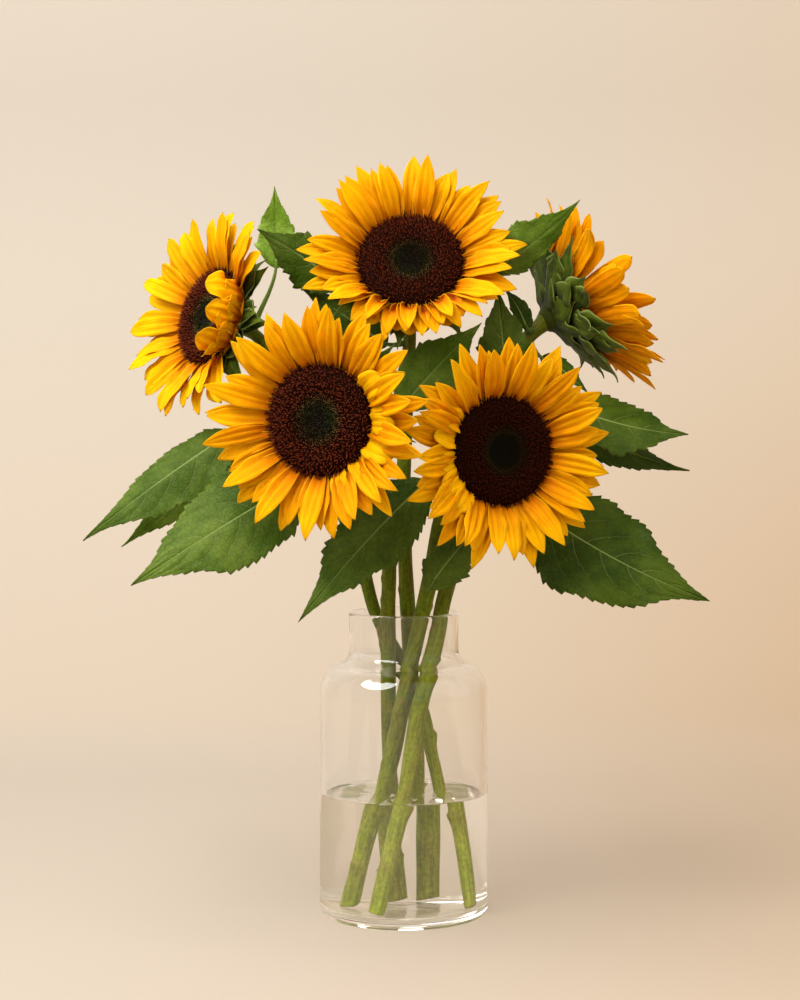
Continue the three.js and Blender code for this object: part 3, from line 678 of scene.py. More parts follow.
def vase_side(inset, neck_inset):
    """Body, shoulder, hollow and neck, for the outside or a wall's thickness in."""
    centre = (VASE_RADIUS - SHOULDER_RADIUS, SHOULDER_FOOT)
    side = arc(centre, SHOULDER_RADIUS - inset, 0, SHOULDER_SWEEP, 12)
    neck = NECK_RADIUS - neck_inset
    neck_foot = VASE_HEIGHT - NECK_LENGTH - 0.5 * inset
    sweep = math.radians(SHOULDER_SWEEP)
    leave = np.array(side[-1]) + 4.5 * np.array([-math.sin(sweep), math.cos(sweep)])
    hollow = bezier([side[-1], leave, (neck, neck_foot - 4), (neck, neck_foot)],
                    np.linspace(0, 1, 9))[1:]
    wall = VASE_RADIUS - inset
    return [(wall, 60), (wall, 120), (wall, SHOULDER_FOOT - 1.5), *side, *map(tuple, hollow),
            (neck, neck_foot + 2), (neck, VASE_HEIGHT - 3)]


def make_vase():
    rim_radius = NECK_WALL / 2
    outer = [(0, 0), (VASE_FOOT_RADIUS - 2, 0)]
    outer += arc((VASE_RADIUS - HEEL_RADIUS, HEEL_RADIUS), HEEL_RADIUS, -90, 0, 8)
    outer.append((VASE_RADIUS, HEEL_RADIUS + 1.5))
    rim = arc((NECK_RADIUS - rim_radius, VASE_HEIGHT - rim_radius), rim_radius, 0, 180, 8)
    corner = (VASE_RADIUS - BODY_WALL - FLOOR_CORNER, VASE_FLOOR + FLOOR_CORNER)
    inner = [(0, VASE_FLOOR - FLOOR_DIP)]
    for radius in np.linspace(3, RIPPLE_REACH, 15):
        share = radius / RIPPLE_REACH
        ripple = FLOOR_RIPPLE * math.cos(radius / 2.6) * (1 - share)
        dip = FLOOR_DIP * math.cos(share * math.pi / 2) ** 2
        inner.append((radius, VASE_FLOOR - dip + ripple))
    inner += [(corner[0] - 1.5, VASE_FLOOR)] + arc(corner, FLOOR_CORNER, -90, 0, 6)
    inner += [(VASE_RADIUS - BODY_WALL, corner[1] + 1.5)] + vase_side(BODY_WALL, NECK_WALL)
    points, faces = lathe(outer + vase_side(0, 0) + rim + inner[::-1], LATHE_SEGMENTS)
    glass = clear_material("vase_glass", GLASS_TINT, GLASS_IOR, GLASS_SHINE)
    return build("glass_vase", points, faces, glass, "vase", {})


def make_water():
    radius = VASE_RADIUS - BODY_WALL + WATER_OVERLAP
    bottom = VASE_FLOOR - WATER_OVERLAP
    brim = WATER_LEVEL + MENISCUS
    profile = [(0, bottom - 1.6), (20, bottom - 1.4), (36, bottom - 0.5)]
    profile += arc((radius - FLOOR_CORNER, bottom + FLOOR_CORNER), FLOOR_CORNER, -90, 0, 6)
    profile += [(radius, height) for height in (50, WATER_LEVEL - 2, brim - 0.3, brim)]
    for out in (0.6, 1.3, 2.2, 3.4, *np.arange(5, radius, 1.7)):
        rise = MENISCUS * math.exp(-out / MENISCUS_REACH)
        profile.append((radius - out, WATER_LEVEL + rise))
    points, faces = lathe([*profile, (0, WATER_LEVEL)], LATHE_SEGMENTS)
    top = points[:, 2] > WATER_LEVEL - 1
    x, y = points[top, 0], points[top, 1]
    calm = 1 - smooth(np.hypot(x, y), radius - 12, radius - 2)
    swell = np.sin(x / 7.1 + 1.3 * np.sin(y / 11)) + np.sin(y / 5.3 + x / 13)
    lift = WATER_SWELL * calm * swell
    for flower in FLOWERS:
        stem = stem_curve(flower, np.linspace(0, 0.5, 400))
        at = stem[np.argmin(np.abs(stem[:, 2] - WATER_LEVEL))]
        clear_of = np.maximum(np.hypot(x - at[0], y - at[1]) - flower["stem_radius"], 0)
        lift += STEM_MENISCUS * np.exp(-clear_of / STEM_MENISCUS_REACH)
    points[top, 2] += lift
    clear = clear_material("water", WATER_TINT, WATER_IOR, WATER_SHINE)
    return build("vase_water", points, faces, clear, "water", {})


# Stems

def stem_curve(flower, t):
    facing = unit(flower["facing"])
    end = np.array(flower["centre"]) - facing * (CALYX_DEPTH - 1.5) * flower["size"]
    return catmull_rom([*flower["stem"], end], t)


def make_stem(flower, material):
    """A stem that follows its curve, with ribs, swellings, leaf scars and a slanted cut."""
    draw = make_random(flower["seed"] + 7)

    def phase():
        return 6 * draw()

    fine = np.linspace(0, 1, STEM_SAMPLES)
    run = np.linalg.norm(np.diff(stem_curve(flower, fine), axis=0), axis=1)
    run = np.concatenate([[0], np.cumsum(run)])
    length = np.linspace(0, run[-1], STEM_RINGS)
    t = np.interp(length, run, fine)
    share = length / length[-1]
    centres = stem_curve(flower, t)
    side, across = frames_along(centres)
    turn = turns(STEM_SIDES)
    slim = 0.8 + 0.12 * smooth(share, 0.12, 0.34)
    radius = slim * flower["stem_radius"] * (1 - STEM_TAPER * t)
    radius = radius[:, None].repeat(STEM_SIDES, 1)
    wander = 0.8 * np.sin(length / 37 + phase()) + 0.5 * np.sin(length / 14 + phase())
    rough = 0.012 * np.cos(9 * turn[None] + wander[:, None])
    for waves in (2, 3, 5, 7):
        start, pace = phase(), 9 + 20 * draw()
        rough = rough + (0.011 * np.cos(waves * turn[None] + start)
                         * np.sin(length[:, None] / pace + phase()))
    swell = 0.03 * np.sin(length / 23 + phase()) + 0.02 * np.sin(length / 9 + phase())
    radius = radius * (1 + rough + swell[:, None])
    radius += 2.2 * np.exp(-(length[-1] - length) / 5)[:, None]
    # marks: place along the stem, heading and strength
    marks = [(np.interp(at, fine, run), 2.4 * i + flower["seed"], 1.0)
             for i, at in enumerate(flower["scars"])]
    marks += [(at * run[-1], 2.1 * i + 1.3 * flower["seed"], 0.75)
              for i, at in enumerate(flower["knots"])]
    marks += [((0.04 + 0.84 * draw()) * run[-1], ANY_ANGLE * draw(), 0.3)
              for _ in range(SMALL_MARKS)]
    scar = np.zeros_like(radius)
    for place, heading, strength in marks:
        level = np.array([math.cos(heading), math.sin(heading), 0])
        row = int(np.argmin(np.abs(length - place)))
        middle = math.atan2(level.dot(across[row]), level.dot(side[row]))
        apart = angle_from(turn, middle)[None]
        lift = (length - place)[:, None]
        above, below = bell(lift, 1.2 + 0.8 * strength), bell(lift, 2 + 7 * strength)
        bump = bell(apart, 0.3 + 0.3 * strength) * np.where(lift > 0, above, below)
        radius += 3.0 * strength * bump
        mark = np.exp(-(apart / 0.4) ** 2 - ((lift - 1.5) / 2.2) ** 2)
        scar = np.maximum(scar, strength * mark)
    points = tube_points(centres, side, across, radius, turn)
    first = points[0]
    slant = np.cos(turn - ANY_ANGLE * draw())
    first[:, 2] = flower["stem"][0][2] + 1.6 * (1 + slant)
    over_cut = first[:, 2] + 0.4 * np.arange(1, 6)[:, None]
    points[1:6, :, 2] = np.maximum(points[1:6, :, 2], over_cut)
    caps = np.array([first.mean(0), points[-1].mean(0)])
    numbers = {"along": np.append(share.repeat(STEM_SIDES), [0, 1]),
               "turn": np.append(np.tile(turn, STEM_RINGS), [0, 0]),
               "scar": np.append(scar, [1, 0])}
    build(f"stalk_{flower['name']}", np.vstack([points.reshape(-1, 3), caps]),
          tube_faces(STEM_RINGS, STEM_SIDES), material, f"stem_{flower['name']}",
          numbers)


# Flower heads

def head_axes(flower):
    front = unit(flower["facing"])
    top = unit(UP - UP.dot(front) * front)
    return np.array([np.cross(top, front), top, front])


def build_on_head(piece, node, flower, bodies, material):
    """A piece made of bodies that were worked out in the head's own axes."""
    points, faces, numbers = gather(bodies)
    points = np.array(flower["centre"]) + flower["size"] * (points @ head_axes(flower))
    name = flower["name"]
    build(f"{piece}_{name}", points, faces, material, f"{node}_{name}", numbers)


def head_blades(blades, grid, widths, thickness):
    """Blades that grow outward from a head, all at once, in the head's own axes. Each bends
    from one lean to another, twists, cups about its middle line and has lengthwise ridges."""
    rows, columns = grid
    v = SimpleNamespace(**{key: np.array([b[key] for b in blades], float)[:, None]
                           for key in blades[0]})
    t = np.linspace(0, 1, rows)
    s = np.linspace(-1, 1, columns)
    clock = np.radians(v.clock)
    lean = np.radians(v.start + (v.end - v.start) * t ** v.knee
                      + v.hook * smooth(t, 0.72, 1.0))
    none = np.zeros((len(blades), 1))
    outward_path, forward_path = (
        np.concatenate([none, np.cumsum((step[:, 1:] + step[:, :-1]) / 2, 1)], 1) / (rows - 1)
        for step in (np.cos(lean), np.sin(lean)))
    radius = v.radius + v.length * outward_path
    height = v.height + v.length * forward_path
    outward = np.stack([np.sin(clock), np.cos(clock), 0 * clock], -1)
    level = np.stack([-np.cos(clock), np.sin(clock), 0 * clock], -1)
    along = outward * np.cos(lean)[..., None] + UP * np.sin(lean)[..., None]
    lifted = np.cross(along, level)
    roll = np.radians(v.roll + v.twist * t)[..., None]
    across = level * np.cos(roll) + lifted * np.sin(roll)
    normal = np.cross(along, across)
    centre = outward * radius[..., None] + UP * height[..., None]
    centre = centre + level * (v.sway * v.length * t**2)[..., None]
    half = np.maximum(v.width * through(widths, t), LEAST_HALF_WIDTH)[..., None]
    cup = (v.cup * (1.15 - 0.75 * t) + v.hollow * bell(t, 0.16))[..., None] + 0.02
    x = half * np.sin(cup * s) / cup
    z = half * (1 - np.cos(cup * s)) / cup
    body = (np.sin(math.pi * np.clip(t, 0.03, 0.97)) ** 0.6)[:, None]
    ridges = np.cos(v.folds[..., None] * math.pi * s)
    z = z + v.ridge[..., None] * half * ridges * body
    wave = np.sin(9 * t + v.phase)[..., None] * s**2
    flutter = np.sin(15 * t + 2 * v.phase)[..., None] * s**3
    z = z + v.rumple[..., None] * half * body * (0.12 * wave + 0.09 * flutter)
    middle = (centre[:, :, None] + across[:, :, None] * x[..., None]
              + normal[:, :, None] * z[..., None])
    offset = normal[:, :, None] * (0.5 * thickness * (1 - 0.55 * s**4))[:, None]
    points, faces = plates(middle + offset, middle - offset)
    # A negative shift carries the root's colour, partly painted shade, further along the blade.
    shown_along = v.shift + (1 - v.shift) * t
    shape = (len(blades), 2, rows, columns)
    numbers = {"along": np.broadcast_to(shown_along[:, None, :, None], shape),
               "across": np.broadcast_to(s, shape),
               "tone": np.broadcast_to(v.tone[..., None, None], shape)}
    return points, faces, numbers


# Half a blade's width as a share of its full one, from root to tip
POINTED = [(0, 0.34), (0.15, 0.41), (0.35, 0.48), (0.55, 0.485), (0.72, 0.40), (0.86, 0.24),
           (0.95, 0.10), (1, 0.0)]
ROUNDED = [(0, 0.34), (0.15, 0.41), (0.4, 0.5), (0.65, 0.51), (0.82, 0.42), (0.93, 0.26),
           (1, 0.03)]
BRACT_SHAPE = [(0, 0.36), (0.15, 0.46), (0.32, 0.5), (0.48, 0.44), (0.62, 0.31), (0.75, 0.16),
               (0.87, 0.07), (1, 0.012)]


def petal_blades(flower):
    """The petals of the part's two rows, two rows of shorter ones between them, and the short
    ones that fold over the disc or bend out from a knee at its edge."""
    random = make_random(flower["seed"])
    extra = make_random(flower["seed"] + 500)

    def blade(**given):
        spread = extra() - 0.5
        made = dict(twist=26 * (extra() - 0.5), hook=30 * (extra() - 0.7), sway=0.16 * spread,
                    ridge=0.08, folds=2.6 + 0.8 * extra(), rumple=1, phase=ANY_ANGLE * extra(),
                    tone=0.0)
        made.update(given)
        made["tone"] = np.clip(flower["warmth"] + 0.7 * (extra() - 0.5) + made["tone"], -1, 1)
        return made

    def within(clock, span):
        """How far a clock angle lies inside a span of them, from 0 to 1."""
        low, high = span or (0, 0)
        return smooth(clock, low, low + 15) * (1 - smooth(clock, high - 15, high))

    def spread(clock, lean, length):
        down, up = (within(clock % 360, flower[key]) for key in ("droop", "closed"))
        pleats = (0.05 + 0.10 * extra()) * (0.6 if flower["blunt"] else 1)
        # Drooping petals get a negative shift, which spreads the root's painted shade into
        # their hollow base.
        return dict(clock=clock, radius=PETAL_ROOT_RADIUS + 0.5 * down, shift=-0.5 * down,
                    start=lean + 14 + 32 * down + 45 * up, end=lean - 20 - 8 * down + 62 * up,
                    length=length * (1 - 0.18 * down) * (1 - 0.5 * up), knee=1 - 0.35 * down,
                    cup=0.3 + 0.5 * extra() + 0.65 * down, hollow=0.6 + 0.1 * down,
                    ridge=pleats * (1 - 0.7 * down))

    blades = []
    gap = 360 / PETALS_IN_ROW
    # rows: draw, first place, lean, height; spreads of place, lean and length; width and roll
    rows = ((random, 0.5, 8, -1.7, 0.3, 10, (0.9, 0.16), (13.5, 2.5), 20),
            (random, 1, -8, -2.9, 0.3, 10, (0.9, 0.16), (13.5, 2.5), 20),
            (extra, 0.75, 3, -2.0, 0.4, 12, (0.78, 0.18), (13, 3), 30),
            (extra, 0.25, -3, -2.6, 0.4, 12, (0.78, 0.18), (13, 3), 30))
    for draw, start, lean, height, stray, sway, reach, width, roll in rows:
        for i in range(PETALS_IN_ROW):
            clock = gap * (start + i + stray * (draw() - 0.5))
            middle = flower["cone"] + lean + sway * (draw() - 0.5)
            length = flower["petal"] * (reach[0] + reach[1] * draw())
            blades.append(blade(height=height, width=width[0] + width[1] * draw(),
                                roll=roll * (draw() - 0.5), **spread(clock, middle, length)))
    for clock in flower["curled"]:
        length, roll = 26 + 6 * random(), 16 * (random() - 0.5)
        if flower["fold"] == "over":
            shape = dict(start=62, end=104 + 30 * extra(), width=19 + 6 * extra(), hook=-20,
                         length=length + 4, radius=38.8, hollow=0.7, cup=0.3, knee=0.9,
                         rumple=1.8, twist=50 * (extra() - 0.5), shift=-0.2, tone=0.35,
                         ridge=0.12)
        elif flower["fold"] == "scoop":
            # Scoops get a strongly negative shift, so the root's painted shade fills their
            # hollow.
            shape = dict(start=108, end=-4 - 22 * extra(), width=14 + 3 * extra(), hook=-16,
                         length=0.9 * length, radius=38.2, hollow=0.9, cup=0.9, knee=0.45,
                         rumple=0.7, twist=12 * (extra() - 0.5), shift=-0.8, tone=0.3)
        else:
            shape = dict(start=96, end=8 - 22 * extra(), width=14 + 4 * extra(), knee=0.5,
                         length=length - 3, radius=37, hook=-30, hollow=0.4, cup=0.45,
                         shift=0.3, tone=-0.35, rumple=0.9)
        blades.append(blade(clock=clock, height=-2.2, roll=2 * roll, sway=0, **shape))
    return blades


def make_petals(flower, material):
    blades = petal_blades(flower)
    flat = len(blades) - len(flower["curled"])
    bodies = [head_blades(blades[:flat], PETAL_GRID, ROUNDED if flower["blunt"] else POINTED,
                          PETAL_THICKNESS)]
    if flower["curled"]:
        bodies.append(head_blades(blades[flat:], CURLED_GRID, ROUNDED, PETAL_THICKNESS))
    ring = [(0, -4), (37.6, -4), (38, -2.4), (37, -0.8), (0, -0.4)]
    bodies.append(turned(ring, 72, along=0.2, across=0, tone=flower["warmth"]))
    build_on_head("rays", "petals", flower, bodies, material)


# From the disc's centre to its edge: the height of the florets' tops, and each floret's lean,
# length and thickness
DISC_TOPS = [(0, 4.4), (0.2, 4.8), (0.4, 5.6), (0.58, 6.9), (0.78, 6.9), (0.92, 5.2), (1, 3.2)]
FLORET_LEAN = [(0, -12), (0.4, -22), (0.6, 4), (0.85, 26), (0.95, 50), (1, 68)]
FLORET_LENGTH = [(0, 1.7), (0.35, 2.3), (0.5, 3.4), (0.8, 4.4), (0.93, 5), (1, 5.4)]
FLORET_THICKNESS = [(0, 0.44), (0.4, 0.54), (0.55, 0.36), (1, 0.4)]
# Along a floret: the places of its rings, and how wide a bud and an open floret are there
FLORET_RINGS = np.array([0.0, 0.55, 0.88])
BUD, OPEN_FLORET = np.array([0.9, 1.0, 0.62]), np.array([0.8, 0.8, 0.95])


def spokes(side, across, count):
    """Directions round each axis."""
    turn = turns(count)
    return side[:, None] * np.cos(turn)[:, None] + across[:, None] * np.sin(turn)[:, None]


def make_disc(flower, material):
    """A dome packed with florets in a golden-angle spiral, each with a forked tip outside."""
    draw = np.random.default_rng(flower["seed"])
    n = np.arange(FLORETS)
    share = np.sqrt((n + 0.5) / FLORETS)
    angle = n * GOLDEN_ANGLE
    outward = np.stack([np.cos(angle), np.sin(angle), 0 * angle], -1)
    open_ones = smooth(share, 0.44, 0.56)
    lean = np.radians(through(FLORET_LEAN, share))
    lean = lean + draw.normal(0, 0.10 + 0.12 * open_ones)
    sway = draw.normal(0, 0.05 + 0.13 * open_ones)
    beside = np.cross(UP, outward)
    axis = unit(outward * np.sin(lean)[:, None] + UP * np.cos(lean)[:, None]
                + beside * np.sin(sway)[:, None])
    side = unit(np.cross(axis, beside))
    across = np.cross(axis, side)
    longest = 0 if flower["closed"] else 0.55
    tall = through(FLORET_LENGTH, share)
    tall = tall * (1 + draw.uniform(-0.2, 0.25, FLORETS)
                   + smooth(share, 0.9, 0.97) * draw.uniform(-0.1, longest, FLORETS))
    top = through(DISC_TOPS, share) - 0.6
    foot = outward * (DISC_RADIUS * 0.95 * share)[:, None] + UP * (top - 0.8 * tall)[:, None]
    thick = through(FLORET_THICKNESS, share)
    shape = BUD + (OPEN_FLORET - BUD) * open_ones[:, None]
    ring = spokes(side, across, FLORET_SIDES)
    rings = (foot[:, None, None]
             + axis[:, None, None] * (tall[:, None] * FLORET_RINGS)[..., None, None]
             + ring[:, None] * (thick[:, None] * shape)[..., None, None])
    caps = np.stack([foot, foot + axis * (1.06 * tall)[:, None]], 1)
    points = np.concatenate([rings.reshape(FLORETS, -1, 3), caps], 1).reshape(-1, 3)
    up = np.append(FLORET_RINGS.repeat(FLORET_SIDES), [0, 1])
    tone = draw.uniform(0, 1, FLORETS)
    numbers = {"ring": share.repeat(len(up)), "up": np.tile(up, FLORETS),
               "tone": tone.repeat(len(up))}
    bodies = [(points, tube_faces(len(FLORET_RINGS), FLORET_SIDES, FLORETS), numbers)]
    outer = np.flatnonzero(open_ones > 0.5)
    florets = [x[outer] for x in (foot, axis, side, across, tall, share)]
    bodies += [prongs(*florets, way, draw) for way in (1, -1)]
    for _, _, numbers in bodies:
        # Painted shade: each floret's tone is scaled by how lit its head is painted.
        numbers["tone"] = flower["painted_disc_light"] * numbers["tone"]
    # The dome shows between the florets in their feet's near-black colour, partly painted
    # shade.
    dome = [(0, -4.0), (DISC_RADIUS - 3, -4.0), (DISC_RADIUS - 0.8, -0.2)]
    dome += [(DISC_RADIUS * r * 0.985, through(DISC_TOPS, r) - 2.1)
             for r in np.linspace(1, 0.05, 20)] + [(0, 2.2)]
    bodies.append(turned(dome, 60, ring=0.7, up=0, tone=0.3))
    build_on_head("florets", "disc", flower, bodies, material)


def prongs(foot, axis, side, across, tall, share, way, draw):
    """One of the two curled stigma lobes on each open floret, as thin three-sided spikes."""
    count = len(foot)
    heading = draw.uniform(0, 2 * math.pi, count)
    out = (side * np.cos(heading)[:, None] + across * np.sin(heading)[:, None]) * way
    start = foot + axis * (0.95 * tall)[:, None] + 0.15 * out
    tip = start + axis * 0.8 + out * (0.45 + draw.uniform(0, 0.35, count))[:, None]
    rings = start[:, None] + 0.2 * spokes(side, across, PRONG_SIDES)
    caps = np.stack([start - axis * 0.3, tip], 1)
    points = np.concatenate([rings, caps], 1).reshape(-1, 3)
    up = [*[0.85] * PRONG_SIDES, 0.6, 1.0]
    numbers = {"ring": share.repeat(len(up)), "up": np.tile(up, count),
               "tone": draw.uniform(0.3, 1, count).repeat(len(up))}
    return points, tube_faces(1, PRONG_SIDES, count), numbers


def make_bracts(flower, material):
    """The part's two rows of bracts, three rows that hug the cup, and the cup."""
    random = make_random(flower["seed"] + 100)
    extra = make_random(flower["seed"] + 700)

    def blade(clock, radius, height, lean, length, width, roll, end, hook):
        return dict(clock=clock, radius=radius, height=height, start=lean, end=lean + end,
                    length=length, width=width, roll=roll, twist=24 * (extra() - 0.5),
                    hook=hook * extra(), sway=0.2 * (extra() - 0.5), cup=0.15 + 0.3 * extra(),
                    hollow=0.1, ridge=0.09, folds=2, knee=1.3, shift=0,
                    phase=ANY_ANGLE * extra(), rumple=1, tone=extra())

    blades = []
    # rows: count, radius, height, lean, length, first clock angle
    for count, radius, height, lean, length, start in ((8, 32.5, -7, -22, 37, 6),
                                                       (5, 24, -10.7, -30, 35, 30)):
        for i in range(count):
            clock = start + 360 / count * (i + 0.3 * (random() - 0.5))
            tilt = flower["cone"] + lean + 8 * (random() - 0.5)
            recurved = i % 3 == 0
            blades.append(blade(clock, radius, height, tilt + 4,
                                length * (0.9 + 0.2 * random()), 17 + 2 * random(),
                                10 * (random() - 0.5), -36 if recurved else 4, -50))
    # rows: count, radius, height, lean, bend, length, first clock angle
    for count, radius, height, lean, bend, length, start in (
            (11, 33, -6.4, 12, 26, 27, 24), (10, 22, -10.8, 8, 26, 33, 2),
            (8, 11, -18.0, 18, 12, 29, 12)):
        for i in range(count):
            clock = start + 360 / count * (i + 0.4 * (extra() - 0.5))
            tilt = lean + 0.4 * (flower["cone"] - 42) + 12 * (extra() - 0.5)
            blades.append(blade(clock, radius, height, tilt, length * (0.9 + 0.2 * extra()),
                                21 + 4 * extra(), 24 * (extra() - 0.5), bend, -40))
    # The cup's along of 0 gives it the calyx's darkest painted shade.
    bowl = [(0, -CALYX_DEPTH), (6.4, -CALYX_DEPTH), (8, -22.4), (10, -19.5), (15, -14.8),
            (24, -10.4), (32, -7.4), (36, -5.6), (36.5, -4.8), (36, -4.3), (0, -4.3)]
    bodies = [head_blades(blades, BRACT_GRID, BRACT_SHAPE, BRACT_THICKNESS),
              turned(bowl, 64, along=0, across=0, tone=0.5)]
    build_on_head("calyx", "bracts", flower, bodies, material)


# Leaves

def leaf_half_width(t):
    """Half width at t along the midrib, as a share of the full width, with a drawn-out tip."""
    drawn_out = 1 - 0.42 * smooth(t, 0.6, 0.93)
    return 0.5 * np.sin(math.pi * t**0.7) ** 0.9 * (1.05 - 0.3 * t * t) * drawn_out


def make_leaf(leaf, material):
    """A blade with teeth, waves and raised veins, and the stalk that carries it."""
    flower = next(f for f in FLOWERS if f["name"] == leaf["stem"])
    draw = make_random(int(100 * leaf["at"]) + int(leaf["width"]))
    base, tip = np.array(leaf["base"], float), np.array(leaf["tip"], float)
    control = (base + tip) / 2 + np.array(leaf["sag"])
    length = np.linalg.norm(tip - base)
    teeth = max(5, int(round(length / TOOTH_SPACING)))
    steps = np.array([0, 0.3, 0.58, 0.84, 0.97])
    t = np.append(((np.arange(teeth)[:, None] + steps) / teeth).ravel(), 1.0)
    place = (t * teeth) % 1.0
    size = np.array([0.6 + 0.8 * draw() for _ in range(teeth + 1)])
    rise, drop = np.clip(place / 0.84, 0, 1), np.clip((place - 0.84) / 0.13, 0, 1)
    tooth = np.where(t < 1, rise - 1.3 * drop, 0)
    tooth = tooth * size[np.minimum(t * teeth, teeth).astype(int)]
    s = np.linspace(-1, 1, 33 if leaf["width"] > 45 else 25)
    s = np.sign(s) * np.abs(s) ** 1.25
    midrib = bezier([base, control, tip], t)
    along = unit(bezier([control - base, tip - control], t))
    face = unit(leaf["face"])
    normal = unit(face - (along @ face)[:, None] * along)
    across = np.cross(normal, along)
    outline = leaf_half_width(t) * leaf["width"]
    phase = ANY_ANGLE * draw()
    far, wide, which_half = t[:, None], np.abs(s)[None], np.sign(s)
    bays = (0.05 * np.sin(17 * far + phase + 1.7 * which_half)
            + 0.035 * np.sin(29 * far + 2 * phase + 2.6 * which_half))
    side_width = np.where(s < 0, leaf["low_side"], 1)
    half = (outline * 0.97 + np.minimum(1.9, 0.11 * outline) * tooth)[:, None]
    half = np.maximum(0.25, half * side_width * (1 + bays))
    fold = math.radians(leaf["fold"])
    x = s[None] * half * math.cos(fold)
    z = half * math.sin(fold) * wide**1.15
    z = z + 0.06 * half * np.sin(9 * far + which_half) * wide**1.5
    z = z + 0.06 * half * np.sin(24 * far + phase + 2 * s) * wide**3
    veins = max(3, int(round(length / VEIN_SPACING)))
    run = (far - VEIN_LEAN * wide - VEIN_CURVE * wide**2) * veins + 0.5 * (s > 0)
    apart = np.abs(run - np.round(run))
    near_vein = bell(apart, 0.06) * (1 - 0.75 * wide) * (wide > 0)
    near_rib = bell(x, 0.5 + 0.9 * (1 - far))
    pillow = 0.013 * leaf["width"] * np.sin(math.pi * apart) ** 0.8
    z = z + pillow * smooth(wide, 0.02, 0.25) * (1 - 0.5 * wide) - 0.5 * near_rib
    middle = midrib[:, None] + across[:, None] * x[..., None] + normal[:, None] * z[..., None]
    top = middle + normal[:, None] * LEAF_HALF_THICKNESS
    depth = LEAF_HALF_THICKNESS + 1.5 * near_rib * (1 - 0.75 * far) + 0.35 * near_vein
    points, faces = plates(top[None], (middle - normal[:, None] * depth[..., None])[None])
    looks = {"along": far, "across": s, "beside": x, "light": leaf["light"], "veins": veins,
             "face": np.array([1, 0])[:, None, None]}
    numbers = {key: np.broadcast_to(look, (2, len(t), len(s))) for key, look in looks.items()}
    bodies = [(points, faces, numbers), leaf_stalk(leaf, flower, base, control, tip)]
    points, faces, numbers = gather(bodies)
    build(f"blade_{leaf['name']}", points, faces, material, f"leaf_{leaf['name']}",
          numbers)


def leaf_stalk(leaf, flower, base, control, tip):
    """The stalk from the stem's side to the midrib."""
    at = np.array([leaf["at"] - 0.004, leaf["at"], leaf["at"] + 0.004])
    before, foot, after = stem_curve(flower, at)
    rise = unit(after - before)
    reach = np.linalg.norm(base - foot)
    heading = unit(control - base)
    end = bezier([base, control, tip], np.array([0.12]))[0]
    t = np.linspace(0.0, 1, STALK_RINGS)
    centres = bezier([foot, foot + 0.3 * (base - foot) + 0.1 * reach * rise,
                      base - 0.3 * reach * heading, end], t)
    side, across = frames_along(centres, unit(leaf["face"]))
    turn = turns(STALK_SIDES)
    radius = (2.3 - 1.35 * t + 1.4 * np.exp(-t * reach / 5))[:, None]
    radius = radius * (1 - 0.22 * bell(angle_from(turn, 0), 0.5))
    points = tube_points(centres, side, across, radius, turn).reshape(-1, 3)
    points = np.vstack([points, centres[0], centres[-1]])
    numbers = same_all_over(points, along=0.3, across=0, beside=0.75, light=leaf["light"],
                            veins=0, face=1)
    return points, tube_faces(STALK_RINGS, STALK_SIDES), numbers


# Camera, lights and the plain studio round the object

CAMERA_PLACE = (-2.6, -1911, 409)
CAMERA_PITCH = math.atan(158 / 2700)
CAMERA_LENS = 97.2
SENSOR_WIDTH = 36
STUDIO_HALF_WIDTH, STUDIO_FRONT, STUDIO_TOP = 4000, -3000, 3500
WALL_Y = 1300
WALL_BEND = 700
# The paper's colour towards the left and the right, with painted light: warmer to the right,
# darker low on the right and lighter high up.
PAPER_FLOOR_PAINTED_LIGHT = (0.376, 0.334, 0.288), (0.380, 0.292, 0.206)
PAPER_LOW_PAINTED_LIGHT = (0.390, 0.339, 0.280), (0.362, 0.270, 0.182)
PAPER_HIGH_PAINTED_LIGHT = (0.412, 0.380, 0.338), (0.450, 0.388, 0.318)
MIDDLE = np.array([0, 0, 300])
LAMP_DISTANCE = 2200
KEY_DIRECTION = (-0.40, -0.54, 0.74)
GLINT_DIRECTION = (-0.485, -0.44, 0.752)
KEY_COLOUR, SIDE_COLOUR, WARM = (1.0, 0.965, 0.91), (1.0, 0.86, 0.70), (1.0, 0.95, 0.89)
WHITE = (1.0, 1.0, 1.0)
WORLD_COLOUR, WORLD_STRENGTH = (1.0, 0.90, 0.79, 1), 0.68


def make_camera():
    data = bpy.data.cameras.new("camera")
    data.lens = CAMERA_LENS
    data.sensor_width = SENSOR_WIDTH
    camera = add_object("camera", data)
    camera.location = [c * MM for c in CAMERA_PLACE]
    camera.rotation_euler = (math.pi / 2 - CAMERA_PITCH, 0, 0)
    bpy.context.scene.camera = camera


def studio_material():
    """Pale paper with painted light, warmer to the right, darker low on the right and lighter
    high up; its back doesn't show.
    """
    n = Nodes("studio")
    place = n.add("SeparateXYZ", {0: n.place()}).outputs
    # Painted light: the paper's colour changes with height and from left to right, for how the
    # studio is lit.
    aside = n.span(place["X"], -0.3, 0.75)
    floor, low = n.mix(aside, *PAPER_FLOOR_PAINTED_LIGHT), n.mix(aside, *PAPER_LOW_PAINTED_LIGHT)
    high = n.mix(n.span(place["X"], -0.2, 0.9), *PAPER_HIGH_PAINTED_LIGHT)
    paper = n.mix(n.span(place["Z"], 0.0, 0.65), low, high)
    paper = n.mix(n.span(place["Z"], 0.0, 0.04), floor, paper)
    behind = n.add("NewGeometry").outputs["Backfacing"]
    return n.finish(n.blend(behind, n.surface(paper, 0.9, 0.1), n.out("BsdfTransparent")))


